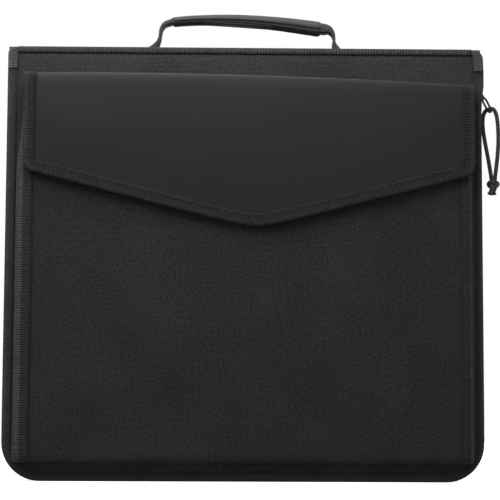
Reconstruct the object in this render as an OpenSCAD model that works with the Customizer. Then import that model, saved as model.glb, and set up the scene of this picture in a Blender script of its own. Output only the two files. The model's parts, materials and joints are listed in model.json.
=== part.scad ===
// Portfolio case: two soft trays joined by a spine at the top, closed by a zip round the
// other three sides, with a flapped pocket on the front and a handle on the spine.
// The case stands on its bottom edge. X is to the right, the front faces -Y, Z is up.

/* [Case] */
// Width over the edge tapes
case_w = 340; // [260:1:460]
// Height from the floor to the top of the spine
case_h = 310; // [240:1:420]
// Depth of one tray, from its cover's outer face to the middle of the zip
tray_d = 23; // [20:0.5:40]
// Radius of the two bottom corners
bottom_r = 27; // [20:1:60]
// Radius of the two top corners
top_r = 6; // [3:0.5:12]

/* [Covers] */
// Thickness of the outer fabric
skin_t = 1; // [0.6:0.1:2]
// Thickness of the stiffening boards
board_t = 2; // [1:0.1:4]
// Thickness of the lining
lining_t = 0.8; // [0.4:0.1:1.6]
// Thickness of the gusset walls
gusset_t = 1.6; // [1:0.1:3]
// How far the cover stands out past the gusset wall
flange = 3; // [2:0.1:6]
// Bare zip tape between the gusset's edge and the middle of the zip
gusset_gap = 6; // [5.5:0.1:9]

/* [Edge tape] */
// Thickness of the ribbed tape
tape_t = 0.8; // [0.4:0.1:1.2]
// Width of the ribbed tape that shows along the cover's sides and bottom
edge_w = 6; // [4:0.5:10]
// Width of the ribbed tape that shows elsewhere
tape_w = 7; // [4:0.5:12]

/* [Zip] */
// Thickness of the zip tape
zip_tape_t = 0.8; // [0.4:0.1:1]
// Length of zip tape that is sewn behind the gusset's edge
zip_tape_sewn = 7; // [4:0.5:9]
// Spacing of the teeth of one row
tooth_pitch = 3; // [2.4:0.1:5]
// Width of a tooth along the row
tooth_w = 1.1; // [0.8:0.1:1.1]
// Thickness of the rows, across the tape
tooth_t = 2.2; // [1.6:0.1:2.4]
// How far the teeth reach past the middle of the zip
tooth_reach = 0.8; // [0.4:0.1:1]
// Distance from the middle of the zip to the tapes' edges
tape_edge = 1.4; // [1.2:0.1:2]
// How far each row grips its tape
tooth_grip = 1.4; // [1:0.1:2]
// Length of the slider
slider_l = 13; // [10:0.5:18]
// Width of the slider's wide end
slider_w = 9.4; // [8:0.1:10]

/* [Pull] */
// Length of the tab from its pivot to the middle of the cord slot
tab_l = 22; // [16:1:32]
// Thickness of the tab
tab_t = 1.2; // [0.8:0.1:1.2]
// How far the tab leans out from the side
tab_lean = 26; // [10:1:30]
// How far the tab is turned on its arch towards the front
tab_turn = 25; // [0:1:25]
// Diameter of the pull cord
cord_d = 3; // [2:0.1:3]
// Radius of the knot
knot_r = 4.8; // [4:0.1:6]

/* [Pocket] */
// Distance from the case's side to the pocket's side
pocket_side = 8; // [8:0.5:60]
// Height of the pocket's bottom edge above the floor
pocket_z = 13; // [9:0.5:40]
// Room inside the pocket
pocket_gap = 6; // [5:0.5:20]
// Thickness of the pocket fabric
pocket_t = 1.2; // [0.8:0.1:2]
// Width of the ribbed tape that shows along the pocket's sides
pocket_tape_w = 10; // [5:0.5:14]
// How far the pocket's mouth is below the flap's fold
mouth_drop = 25; // [20:1:50]
// Width of the pocket's sewn edges
seam_w = 3; // [2:0.5:6]

/* [Flap] */
// How far the flap's fold is below the top of the case
flap_drop = 23; // [16:1:40]
// Length of the flap at its sides, from the fold
flap_side = 67.5; // [50:0.5:90]
// Length of the flap at its point, from the fold
flap_point = 109; // [70:1:150]
// How far the point lies to the right of the middle
flap_point_x = 8; // [-20:1:20]
// Radius of the flap's two lower corners
flap_corner_r = 10; // [9:0.5:20]
// Radius of the flap's point
flap_point_r = 40; // [10:1:80]
// How much narrower than the pocket the flap is on each side
flap_in = 2; // [1:0.5:20]
// How far the flap is sewn to the right of the middle
flap_shift = 2.7; // [-3:0.1:3]
// Thickness of the flap's outer layer
flap_t = 1; // [0.6:0.1:2]
// Thickness of the flap's lining
flap_lining_t = 0.6; // [0.4:0.1:1]

/* [Handle] */
// Height of the grip's top above the spine
handle_h = 30; // [20:0.5:50]
// Length of the grip
grip_l = 112; // [80:1:160]
// Height of the grip's section
grip_h = 9; // [7:0.5:12]
// Depth of the grip's section
grip_d = 13; // [12:0.5:18]
// Radius of the grip's bow
bow_r = 440; // [300:10:900]
// Width of the folded strap
strap_w = 10; // [8:0.5:11]
// Thickness of the folded strap
strap_t = 2.4; // [1.6:0.1:3]
// Length of each strap end that is sewn down
strap_end_l = 26; // [16:1:40]
// Width of each strap end that is sewn down
strap_end_w = 20; // [12:1:30]

/* [Sleeve] */
// Distance from the case's side to the side of the document sleeve inside the back
sleeve_side = 20; // [17:1:80]
// How far the sleeve's mouth is below the top of the case
sleeve_drop = 60; // [30:1:150]
// Height of the sleeve's bottom edge above the floor
sleeve_z = 14; // [12:0.5:40]
// Room inside the sleeve
sleeve_gap = 6; // [5.5:0.5:7]

/* [Hidden] */
$fn = 64;

// Gaps between pieces of one body, and between pieces that move past each other
fit_gap = 0.2;
move_gap = 0.4;
// Room for cutters to pass a face
over = 1;
// Radius inside a sewn corner
inner_r = 0.5;
// Room for the teeth, the tapes and the cord in what they run through
run_room = 0.6;

// Distances in from the case's outer edge
skin_in = tape_t;
wall_in = skin_in + flange;
wall_inner_in = wall_in + gusset_t;
zip_in = wall_inner_in + zip_tape_t / 2;
lining_in = wall_inner_in + zip_tape_t + fit_gap;

// Depths into a tray from its cover's outer face
board_s = skin_t;
lining_s = board_s + board_t;
inside_s = lining_s + lining_t;
gusset_end_s = tray_d - gusset_gap;
tooth_base_s = tray_d - tape_edge;
tooth_root_s = tooth_base_s - tooth_grip;
tape_end_s = tooth_base_s - fit_gap;
fold_s = inside_s + tape_t;

// Flap and pocket layers in front of the front cover
patch_t = tape_t;
pocket_w = case_w - 2 * pocket_side;
pocket_r = bottom_r - pocket_z;
flap_half = pocket_w / 2 - flap_in;
pocket_face = pocket_gap + pocket_t;
flap_back = pocket_face + tape_t + move_gap;
flap_layers = flap_t + flap_lining_t;
flap_face = flap_back + 2 * tape_t + flap_layers;

// Places along Y
total_d = flap_face + 2 * tray_d + tape_t;
front_y = flap_face - total_d / 2;
back_y = front_y + 2 * tray_d;
zip_y = front_y + tray_d;

// Heights
flap_z = case_h - flap_drop;
roll_r = (flap_face - tape_t) / 2;
flap_axis_z = flap_z - roll_r;
mouth_z = flap_z - mouth_drop;
sleeve_w = case_w - 2 * sleeve_side;
sleeve_r = seam_w + inner_r;
sleeve_mouth_z = case_h - sleeve_drop;
spine_top = case_h - tape_t;
wall_top_z = spine_top - inside_s - move_gap;
zip_end_drop = 5;
zip_end_z = wall_top_z - zip_end_drop;
stop_l = 2.2;
slider_gap = 1;
slider_z = zip_end_z - stop_l - slider_gap - slider_l / 2;
spine_gap = 0.4;

// Slider, in a frame whose X is out of the side and whose origin is on the tape
channel = tooth_t + run_room;
plate_t = 1.3;
arch_r = 4.2;
arch_t = 1.6;
tab_seat = 2.3;
side_x = case_w / 2 - zip_in;
pivot = [side_x + channel / 2 + plate_t + tab_seat, zip_y, slider_z];
eye = [3.4, 4.8];
eye_rim = 1;
slot_spare = 1.8;
slot = [cord_d + run_room, cord_d + run_room + slot_spare];
slot_rim = 1.6;
hook = pivot + tab_l * [sin(tab_lean), 0, -cos(tab_lean)];

// Handle
bow_z = spine_top + handle_h - grip_h / 2;
bow_a = asin(grip_l / 2 / bow_r);
shoulder_r = 10;
foot_r = 5;
foot_z = spine_top + strap_t / 2 + move_gap;
shoulder = [(bow_r - shoulder_r) * sin(bow_a), bow_z - bow_r + (bow_r - shoulder_r) * cos(bow_a)];
riser_x = shoulder[0] + shoulder_r;
strap_end_x = riser_x + foot_r + move_gap;

// Pull cord: from the knot up one side of the loop, through the tab's slot and down the
// other side, as distances from the middle of the slot
cord_route = [
  [1.7, 0.9, -53.5], [1.4, 1.3, -49.5], [0.9, 1.8, -45.5], [0.3, 2.4, -41], [-0.3, 3.0, -36.5],
  [-1.0, 3.6, -32], [-1.7, 4.2, -27.5], [-2.4, 4.8, -23], [-3.0, 5.2, -18.5], [-3.5, 5.4, -14],
  [-3.8, 5.0, -9.5], [-3.7, 3.9, -5.6], [-3.0, 2.2, -2.6], [-1.6, 0.8, -0.8], [0, 0, 0],
  [1.8, -0.8, 0.2], [3.6, -1.7, -1.0], [5.0, -2.2, -4.2], [5.8, -2.4, -8.6], [6.2, -2.4, -13.4],
  [6.4, -2.4, -18.2], [6.4, -2.3, -23], [6.3, -2.2, -27.5], [6.0, -2.0, -32], [5.6, -1.8, -36.5],
  [5.1, -1.5, -41], [4.6, -1.2, -45.5], [4.1, -1.0, -49.5], [3.7, -0.8, -53.5]
];
knot_at = hook + [2.7, 0, -56.5];
cord_sides = 8;

fabric_colour = [0.13, 0.13, 0.135];
tape_colour = [0.16, 0.16, 0.165];
lining_colour = [0.2, 0.2, 0.21];
board_colour = [0.45, 0.42, 0.38];
leather_colour = [0.17, 0.17, 0.18];
metal_colour = [0.25, 0.25, 0.26];

// Outline of the case seen from the front, drawn in by a distance from its edge
module case_outline(inset = 0) {
  low = bottom_r - inset;
  high = max(top_r - inset, fit_gap);
  half = case_w / 2 - inset;
  top = case_h - inset;
  translate([-half, bottom_r]) square([2 * half, top - high - bottom_r]);
  translate([low - half, inset]) square([2 * (half - low), low]);
  translate([high - half, top - high]) square([2 * (half - high), high]);
  for (side = [-1, 1]) {
    translate([side * (half - low), bottom_r]) circle(low);
    translate([side * (half - high), top - high]) circle(high);
  }
}

// The same outline with a square top at a given height
module tray_outline(inset, top) {
  low = bottom_r - inset;
  half = case_w / 2 - inset;
  translate([-half, bottom_r]) square([2 * half, top - bottom_r]);
  translate([low - half, inset]) square([2 * (half - low), low]);
  for (side = [-1, 1]) translate([side * (half - low), bottom_r]) circle(low);
}

// A wall round the sides and the bottom, open at the top
module u_wall(outer, inner, top) {
  difference() {
    tray_outline(outer, top);
    tray_outline(inner, top + over);
  }
}

// A front view drawn solid between two depths
module slab(from, to) {
  translate([0, to, 0]) rotate([90, 0, 0]) linear_extrude(to - from) children();
}

// Place a tray's pieces, drawn with their depth along +Y from the cover's outer face
module front_tray() { translate([0, front_y, 0]) children(); }
module back_tray() { translate([0, back_y, 0]) mirror([0, 1, 0]) children(); }

// Outer fabric of a cover, inside its top tape
module cover_panel() {
  slab(0, skin_t) intersection() {
    case_outline(skin_in);
    translate([-case_w / 2, 0]) square([case_w, case_h - tape_t]);
  }
}

module cover_board() {
  slab(board_s, lining_s) tray_outline(lining_in, case_h - tape_t);
}

module cover_lining() {
  slab(lining_s, inside_s) tray_outline(lining_in, case_h - tape_t);
}

// Side wall of a tray, with the lip that is sewn to the cover's edge
module cover_gusset() {
  slab(skin_t, gusset_end_s) u_wall(wall_in, wall_inner_in, wall_top_z);
  slab(skin_t, 2 * skin_t) u_wall(skin_in, wall_in + fit_gap, wall_top_z);
}

// Tape folded round the edge of the cover and the gusset's lip
module cover_binding() {
  half = case_w / 2 - skin_in - edge_w;
  slab(-tape_t, 0) difference() {
    case_outline();
    tray_outline(skin_in + edge_w, case_h + over);
  }
  slab(-tape_t, 2 * skin_t + tape_t) difference() {
    case_outline();
    case_outline(skin_in);
    translate([-half, case_h / 2]) square([2 * half, case_h]);
  }
  slab(2 * skin_t, 2 * skin_t + tape_t) u_wall(0, wall_in, wall_top_z);
}

// Tape folded over the cover's top edge, between the side tapes
module cover_top_binding() {
  half = case_w / 2 - skin_in - edge_w - fit_gap;
  slab(-tape_t, 0) translate([-half, case_h - tape_w]) square([2 * half, tape_w]);
  slab(-tape_t, fold_s) translate([-half, case_h - tape_t]) square([2 * half, tape_t]);
  slab(inside_s, fold_s) translate([-half, case_h - tape_w / 2]) square([2 * half, tape_w / 2]);
}

// Zip tape, sewn behind the gusset's edge
module cover_zip_tape() {
  slab(gusset_end_s - zip_tape_sewn, tape_end_s) zip_tape_line();
}

// The zip tape seen from the front
module zip_tape_line() { u_wall(wall_inner_in, wall_inner_in + zip_tape_t, wall_top_z); }

// Places of the teeth along a stretch, in even steps; phase puts the two rows between each other
function tooth_count(stretch) = round(stretch / tooth_pitch);
function tooth_places(stretch, phase) =
  [for (i = [0 : tooth_count(stretch) - 1]) (i + phase) * stretch / tooth_count(stretch)];

// Outline of a straight run of teeth: the strip they stand on, then each tooth
function comb(from, to, places) = concat(
  [[tooth_root_s, to], [tooth_root_s, from], [tooth_base_s, from]],
  [for (p = places, k = [0 : 3]) [
    k == 1 || k == 2 ? tray_d + tooth_reach : tooth_base_s,
    p + (k < 2 ? -1 : 1) * (k == 1 || k == 2 ? tooth_w / 2 - fit_gap : tooth_w / 2)
  ]],
  [[tooth_base_s, to]]
);

// A row of teeth with a slot along its back for the edge of the zip tape
module tooth_row(phase) {
  difference() {
    solid_row(phase);
    slab(tooth_root_s - over, tape_end_s) zip_tape_line();
  }
}

// A row from the right end of the zip round the bottom to the left end
module solid_row(phase) {
  right_top = slider_z - slider_l / 2 - move_gap;
  left_top = zip_end_z - stop_l - move_gap;
  bend = bottom_r - zip_in;
  corner_x = case_w / 2 - bottom_r;
  // right side, from the top down
  run = right_top - bottom_r;
  right_places = [for (p = tooth_places(run, 1 - phase)) bottom_r + p];
  translate([side_x - tooth_t / 2, 0, 0]) rotate([90, 0, 90]) linear_extrude(tooth_t)
    polygon(comb(bottom_r, right_top, right_places));
  // left side, from the corner up
  left_run = left_top - bottom_r;
  left_places = [for (p = tooth_places(left_run, phase)) bottom_r + p];
  translate([-side_x - tooth_t / 2, 0, 0]) rotate([90, 0, 90]) linear_extrude(tooth_t)
    polygon(comb(bottom_r, left_top, left_places));
  // bottom, from right to left
  bottom_places = [for (p = tooth_places(2 * corner_x, 1 - phase)) p - corner_x];
  translate([0, 0, zip_in - tooth_t / 2]) linear_extrude(tooth_t)
    polygon([for (q = comb(-corner_x, corner_x, bottom_places)) [q[1], q[0]]]);
  // the two corners
  turn = 90;
  arc = bend * turn * PI / 180;
  for (side = [-1, 1]) translate([side * corner_x, 0, bottom_r]) {
    slab(tooth_root_s, tooth_base_s) intersection() {
      difference() {
        circle(bend + tooth_t / 2);
        circle(bend - tooth_t / 2);
      }
      translate([side > 0 ? 0 : -bottom_r, -bottom_r]) square(bottom_r);
    }
    for (p = tooth_places(arc, phase)) {
      a = p / arc * turn;
      rotate([0, side > 0 ? a : 90 + a, 0])
        translate([bend - tooth_t / 2, 0, 0]) rotate([90, 0, 90]) linear_extrude(tooth_t)
          polygon([
            [tooth_base_s - fit_gap, -tooth_w / 2], [tray_d + tooth_reach, fit_gap - tooth_w / 2],
            [tray_d + tooth_reach, tooth_w / 2 - fit_gap], [tooth_base_s - fit_gap, tooth_w / 2]
          ]);
    }
  }
}

// Metal clips round the zip tape's edge, one at each end of the zip
module end_stops() {
  wall = 0.6;
  wide = tooth_grip + 2 * wall - fit_gap;
  thick = zip_tape_t + 2 * wall;
  for (side = [-1, 1])
    translate([side * side_x - thick / 2, tape_end_s + wall - wide, zip_end_z - stop_l])
      difference() {
        cube([thick, wide, stop_l]);
        translate([wall, -over, -over]) cube([zip_tape_t, wide - wall + over, stop_l + 2 * over]);
      }
}

// Outline of a pocket: square at its mouth, with round bottom corners
module pocket_outline(width, low, high, r) {
  corner_x = width / 2 - r;
  translate([-width / 2, low + r]) square([width, high - low - r]);
  translate([-corner_x, low]) square([2 * corner_x, 2 * r]);
  for (side = [-1, 1]) translate([side * corner_x, low + r]) circle(r);
}

// A flat pocket: a face on three sewn edges, open at the top
module patch_pocket(width, low, high, r, gap, thick) {
  slab(gap, gap + thick) pocket_outline(width, low, high, r);
  slab(0, gap) difference() {
    pocket_outline(width, low, high, r);
    pocket_outline(width - 2 * seam_w, low + seam_w, high + over, r - seam_w);
  }
}

// Tape folded over a pocket's mouth
module mouth_tape(half, high, gap, thick) {
  for (s = [gap - tape_t, gap + thick])
    slab(s, s + tape_t) translate([-half, high - tape_w]) square([2 * half, tape_w + tape_t]);
  slab(gap - tape_t, gap + thick + tape_t)
    translate([-half, high]) square([2 * half, tape_t]);
}

// Points of an outline's corner, rounded between the points before and after it
corner_steps = 8;
function rounded(before, corner, after, r) =
  let (
    a = unit(before - corner), b = unit(after - corner),
    half_angle = acos(a * b) / 2,
    middle = corner + r / sin(half_angle) * unit(a + b),
    from = corner + r / tan(half_angle) * a - middle,
    turn = sign(a[1] * b[0] - a[0] * b[1]) * (180 - 2 * half_angle)
  )
  [for (i = [0 : corner_steps]) let (t = turn * i / corner_steps)
    middle + [from[0] * cos(t) - from[1] * sin(t), from[0] * sin(t) + from[1] * cos(t)]];

// Outline of the flap, drawn in by a distance from its free edges
module flap_outline(inset = 0, above = 0) {
  left_x = flap_shift - flap_half;
  right_x = flap_shift + flap_half;
  low = flap_z - flap_side;
  top = flap_axis_z - move_gap + above;
  fall = (flap_point - flap_side) / (flap_point_x - left_x);
  rise = (flap_point - flap_side) / (right_x - flap_point_x);
  left_up = inset * norm([1, fall]);
  right_up = inset * norm([1, rise]);
  point_x = (fall * left_x + rise * right_x + left_up - right_up) / (fall + rise);
  left_top = [left_x + inset, top];
  left_low = [left_x + inset, low + left_up - inset * fall];
  point = [point_x, low + left_up - fall * (point_x - left_x)];
  right_low = [right_x - inset, low + right_up - inset * rise];
  right_top = [right_x - inset, top];
  polygon(concat(
    [left_top], rounded(left_top, left_low, point, flap_corner_r - inset),
    rounded(left_low, point, right_low, flap_point_r - inset),
    rounded(point, right_low, right_top, flap_corner_r - inset), [right_top]
  ));
}

// Place the flap's layers, drawn with their depth along -Y from the flap's back face
module flap_layer(from, to) {
  translate([0, front_y - flap_back, 0]) slab(-to, -from) children();
}

// Touch-fastener patches near the flap's point, one each side
module patch_pair() {
  size = [45, 16];
  apart = 50;
  for (side = [-1, 1])
    translate([flap_point_x + side * apart - size[0] / 2, flap_z - flap_side - size[1] / 2])
      square(size);
}

// Back tray
module back_panel() { color(fabric_colour) back_tray() cover_panel(); }
module back_board() { color(board_colour) back_tray() cover_board(); }
module back_lining() { color(lining_colour) back_tray() cover_lining(); }
module back_gusset() { color(fabric_colour) back_tray() cover_gusset(); }
module back_binding() { color(tape_colour) back_tray() cover_binding(); }
module back_top_binding() { color(tape_colour) back_tray() cover_top_binding(); }
module back_zip_tape() { color(tape_colour) back_tray() cover_zip_tape(); }
module back_zip_teeth() { color(metal_colour) back_tray() tooth_row(0.75); }
module back_zip_stops() { color(metal_colour) back_tray() end_stops(); }

module inner_sleeve() {
  color(lining_colour) back_tray() translate([0, inside_s, 0])
    patch_pocket(sleeve_w, sleeve_z, sleeve_mouth_z, sleeve_r, sleeve_gap, lining_t);
}

module inner_sleeve_binding() {
  color(tape_colour) back_tray() translate([0, inside_s, 0])
    mouth_tape(sleeve_w / 2 - seam_w - fit_gap, sleeve_mouth_z, sleeve_gap, lining_t);
}

// Front tray
module front_panel() { color(fabric_colour) front_tray() cover_panel(); }
module front_board() { color(board_colour) front_tray() cover_board(); }
module front_lining() { color(lining_colour) front_tray() cover_lining(); }
module front_gusset() { color(fabric_colour) front_tray() cover_gusset(); }
module front_binding() { color(tape_colour) front_tray() cover_binding(); }
module front_top_binding() { color(tape_colour) front_tray() cover_top_binding(); }
module front_zip_tape() { color(tape_colour) front_tray() cover_zip_tape(); }
module front_zip_teeth() { color(metal_colour) front_tray() tooth_row(0.25); }
module front_zip_stops() { color(metal_colour) front_tray() end_stops(); }

// A front view of the spine, drawn solid from one cover's fold to the other's
module spine_slab() {
  gap = fold_s + spine_gap;
  translate([0, front_y, 0]) slab(gap, 2 * tray_d - gap) children();
}

// Outer fabric of the spine, with ends that follow the case's top corners
module spine_panel() {
  color(fabric_colour) spine_slab() intersection() {
    case_outline(tape_t);
    translate([-case_w / 2, spine_top - skin_t]) square([case_w, skin_t]);
  }
}

// An inner layer of the spine, between two depths below its top
module spine_layer(from, to) {
  half = case_w / 2 - lining_in;
  spine_slab() translate([-half, spine_top - to]) square([2 * half, to - from]);
}

module spine_board() { color(board_colour) spine_layer(board_s, lining_s); }
module spine_lining() { color(lining_colour) spine_layer(lining_s, inside_s); }

// Tape over both ends of the spine, round the top corners
module spine_end_bindings() {
  half = case_w / 2 - skin_in - edge_w;
  color(tape_colour) spine_slab() difference() {
    case_outline();
    case_outline(tape_t);
    translate([-case_w / 2, 0]) square([case_w, wall_top_z + move_gap]);
    translate([-half, 0]) square([2 * half, case_h + over]);
  }
}

// Ends of the handle strap, spread flat and sewn to the spine
module strap_end() {
  translate([strap_end_x, zip_y - strap_end_w / 2, spine_top])
    cube([strap_end_l, strap_end_w, strap_t]);
}
module left_strap_end() { color(tape_colour) mirror([1, 0, 0]) strap_end(); }
module right_strap_end() { color(tape_colour) strap_end(); }

// Points of a bend with the strap's outward direction there; angles are from straight up,
// clockwise, and out is 1 where the strap's outer side is away from the bend's middle
function bend(middle, r, from, to, out, steps) = [for (i = [0 : steps])
  let (a = from + (to - from) * i / steps, dir = [sin(a), cos(a)]) [middle + r * dir, out * dir]];

// The strap's loop, folded in half along its length: up from each end and through the grip
module handle_strap() {
  path = concat(
    bend([0, bow_z - bow_r], bow_r, 0, bow_a, 1, 6),
    bend(shoulder, shoulder_r, bow_a, 90, 1, 10),
    bend([riser_x + foot_r, foot_z + foot_r], foot_r, 270, 180, -1, 10)
  );
  outer = [for (q = path) q[0] + strap_t / 2 * q[1]];
  inner = [for (q = path) q[0] - strap_t / 2 * q[1]];
  last = len(path) - 1;
  color(tape_colour) translate([0, zip_y, 0]) slab(-strap_w / 2, strap_w / 2)
    polygon(concat(outer, [for (i = [last : -1 : 1]) inner[i]],
      [for (i = [0 : last]) [-inner[i][0], inner[i][1]]],
      [for (i = [last : -1 : 1]) [-outer[i][0], outer[i][1]]]));
}

// Smooth wrap round the strap, bowed with it
module handle_grip() {
  flat = 1;
  round_r = (grip_h - flat) / 2;
  room = fit_gap / 2;
  color(leather_colour) translate([0, zip_y, bow_z - bow_r])
    rotate([90, 0, 0]) rotate([0, 0, 90 - bow_a])
      rotate_extrude(angle = 2 * bow_a, $fn = 720) translate([bow_r, 0]) difference() {
        union() {
          square([grip_h, grip_d - 2 * round_r], center = true);
          square([grip_h - 2 * round_r, grip_d], center = true);
          for (a = [-1, 1], b = [-1, 1])
            translate([a * (grip_h / 2 - round_r), b * (grip_d / 2 - round_r)])
              circle(round_r, $fn = 48);
        }
        square([strap_t + 2 * room, strap_w + 2 * room], center = true);
      }
}

// Front pocket
module pocket_outward() { translate([0, front_y, 0]) mirror([0, 1, 0]) children(); }

module pocket_panel() {
  color(fabric_colour) pocket_outward()
    patch_pocket(pocket_w, pocket_z, mouth_z, pocket_r, pocket_gap, pocket_t);
}

// Tape folded round each side edge of the pocket
module pocket_bindings() {
  half = pocket_w / 2;
  low = pocket_z + pocket_r;
  color(tape_colour) pocket_outward() for (side = [0, 1]) mirror([side, 0, 0]) {
    slab(pocket_face, pocket_face + tape_t)
      translate([half - pocket_tape_w, low]) square([pocket_tape_w + tape_t, mouth_z - low]);
    slab(0, pocket_face + tape_t) translate([half, low]) square([tape_t, mouth_z - low]);
  }
}

module pocket_mouth_binding() {
  color(tape_colour) pocket_outward()
    mouth_tape(pocket_w / 2 - pocket_tape_w - fit_gap, mouth_z, pocket_gap, pocket_t);
}

module pocket_loop_patches() {
  color(tape_colour) pocket_outward() slab(pocket_face, pocket_face + patch_t) patch_pair();
}

// The flap's fixed edge: sewn to the cover, then rolled up and over towards the front
module flap_root() {
  sewn = 8;
  color(leather_colour) translate([flap_shift - flap_half, front_y - roll_r, flap_axis_z])
    rotate([90, 0, 90]) linear_extrude(2 * flap_half) {
      difference() {
        circle(roll_r);
        circle(roll_r - flap_layers);
        translate([-2 * roll_r, move_gap - 2 * roll_r]) square([2 * roll_r, 2 * roll_r]);
        translate([-2 * roll_r, -2 * roll_r]) square([4 * roll_r, 2 * roll_r]);
      }
      translate([roll_r - flap_layers, -sewn]) square([flap_layers, sewn]);
    }
}

module flap_panel() {
  from = tape_t + flap_lining_t;
  color(leather_colour) flap_layer(from, from + flap_t) flap_outline(tape_t);
}

module flap_lining() {
  color(lining_colour) flap_layer(tape_t, tape_t + flap_lining_t) flap_outline(tape_t);
}

// Tape folded round the flap's sides and its pointed lower edge
module flap_binding() {
  all = flap_layers + 2 * tape_t;
  color(tape_colour) {
    for (from = [0, all - tape_t]) flap_layer(from, from + tape_t) difference() {
      flap_outline();
      flap_outline(tape_t + tape_w, over);
    }
    flap_layer(0, all) difference() {
      flap_outline();
      flap_outline(tape_t, over);
    }
  }
}

module flap_hook_patches() {
  color(tape_colour) flap_layer(tape_t - patch_t, tape_t) patch_pair();
}

// Zip slider: two plates joined by a divider, rims that hold the rows, and an arch for the tab
module zip_slider() {
  wide = slider_w / 2;
  taper = 0.8;
  narrow = wide - taper;
  half = slider_l / 2;
  shoulder_cut = 2;
  rim = 1;
  slit = zip_tape_t + run_room;
  divider = [2, 3.4];
  divider_drop = 0.6;
  sink = 0.2;
  color(metal_colour) translate([side_x, zip_y, slider_z]) {
    for (face = [0, 1]) mirror([face, 0, 0]) {
      translate([channel / 2, 0, 0]) rotate([90, 0, 90]) linear_extrude(plate_t) polygon([
        [-narrow, -half], [narrow, -half], [wide, 0], [wide, half - shoulder_cut],
        [wide - shoulder_cut, half], [shoulder_cut - wide, half],
        [-wide, half - shoulder_cut], [-wide, 0]
      ]);
      for (edge = [0, 1]) mirror([0, edge, 0])
        translate([slit / 2, 0, 0]) rotate([90, 0, 90]) linear_extrude(channel / 2 - slit / 2)
          polygon([[narrow - rim, -half], [narrow, -half], [wide, 0], [wide - rim, 0]]);
    }
    translate([-channel / 2, -divider[0] / 2, half - divider_drop - divider[1]])
      cube([channel, divider[0], divider[1]]);
    translate([channel / 2 + plate_t - sink, 0, 0]) rotate([90, 0, 0]) rotate([0, 0, -90])
      rotate_extrude(angle = 180) translate([arch_r, 0]) circle(arch_t / 2, $fn = 32);
  }
}

// Pull tab: an eye round the slider's arch, a waist, and a slot for the cord
module pull_tab() {
  bar = 0.5;
  eye_half = eye[0] / 2 + eye_rim;
  eye_low = bar + eye[1] + eye_rim;
  waist = 2;
  neck = 2;
  slot_half = slot[0] / 2 + slot_rim;
  slot_run = (slot[1] - slot[0]) / 2;
  color(metal_colour) translate(pivot) rotate([0, -tab_lean, 0]) rotate([0, 0, -tab_turn])
    translate([-tab_t / 2, 0, 0]) rotate([90, 0, 90]) linear_extrude(tab_t) difference() {
      union() {
        translate([-eye_half, -eye_low]) square([2 * eye_half, eye_low + bar]);
        polygon([
          [-eye_half, -eye_low], [-waist, -eye_low - neck], [-slot_half, -tab_l - slot_run],
          [slot_half, -tab_l - slot_run], [waist, -eye_low - neck], [eye_half, -eye_low]
        ]);
        translate([0, -tab_l - slot_run]) circle(slot_half);
      }
      translate([-eye[0] / 2, -bar - eye[1]]) square(eye);
      translate([-slot[0] / 2, -tab_l - slot_run]) square([slot[0], 2 * slot_run]);
      for (end = [-1, 1]) translate([0, -tab_l + end * slot_run]) circle(slot[0] / 2);
    }
}

// A round cord swept along a route of points
function unit(v) = v / norm(v);
function along(route, i) =
  unit(route[min(i + 1, len(route) - 1)] - route[max(i - 1, 0)]);
module swept_cord(route, d, sides) {
  across = [0, 1, 0];
  rings = [for (i = [0 : len(route) - 1])
    let (t = along(route, i), u = unit(cross(across, t)), v = cross(t, u))
      for (k = [0 : sides - 1])
        route[i] + d / 2 * (cos(k * 360 / sides) * u + sin(k * 360 / sides) * v)];
  last = len(route) - 1;
  walls = [for (i = [0 : last - 1], k = [0 : sides - 1]) let (n = (k + 1) % sides)
    [i * sides + k, i * sides + n, (i + 1) * sides + n, (i + 1) * sides + k]];
  polyhedron(rings, concat(
    [[for (k = [sides - 1 : -1 : 0]) k]], walls, [[for (k = [0 : sides - 1]) last * sides + k]]
  ));
}

module pull_cord() {
  color(tape_colour) swept_cord([for (p = cord_route) hook + p], cord_d, cord_sides);
}

// The knot that closes the loop, with the cord's two short tails
module pull_knot() {
  tail_l = knot_r + 5;
  tail_turns = [[-20, 195], [25, 215]];
  color(tape_colour) translate(knot_at) {
    sphere(knot_r, $fn = 48);
    for (a = tail_turns)
      rotate([a[0], a[1], 0]) cylinder(h = tail_l, d = cord_d, $fn = 24);
  }
}

back_panel();
back_board();
back_lining();
back_gusset();
back_binding();
back_top_binding();
back_zip_tape();
back_zip_teeth();
back_zip_stops();
inner_sleeve();
inner_sleeve_binding();
spine_panel();
spine_board();
spine_lining();
spine_end_bindings();
left_strap_end();
right_strap_end();
handle_strap();
handle_grip();
front_panel();
front_board();
front_lining();
front_gusset();
front_binding();
front_top_binding();
front_zip_tape();
front_zip_teeth();
front_zip_stops();
pocket_panel();
pocket_bindings();
pocket_mouth_binding();
pocket_loop_patches();
flap_root();
flap_panel();
flap_lining();
flap_binding();
flap_hook_patches();
zip_slider();
pull_tab();
pull_cord();
pull_knot();
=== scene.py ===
"""Looks of a portfolio case: woven covers bound with ribbed tape, a flapped pocket, a zip round
three sides, a wrapped handle and a corded zip pull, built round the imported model.

X is to the right, the front faces -Y and Z is up. Lengths are in metres."""
import json
import math

import bmesh
import bpy
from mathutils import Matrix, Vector, noise


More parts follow.
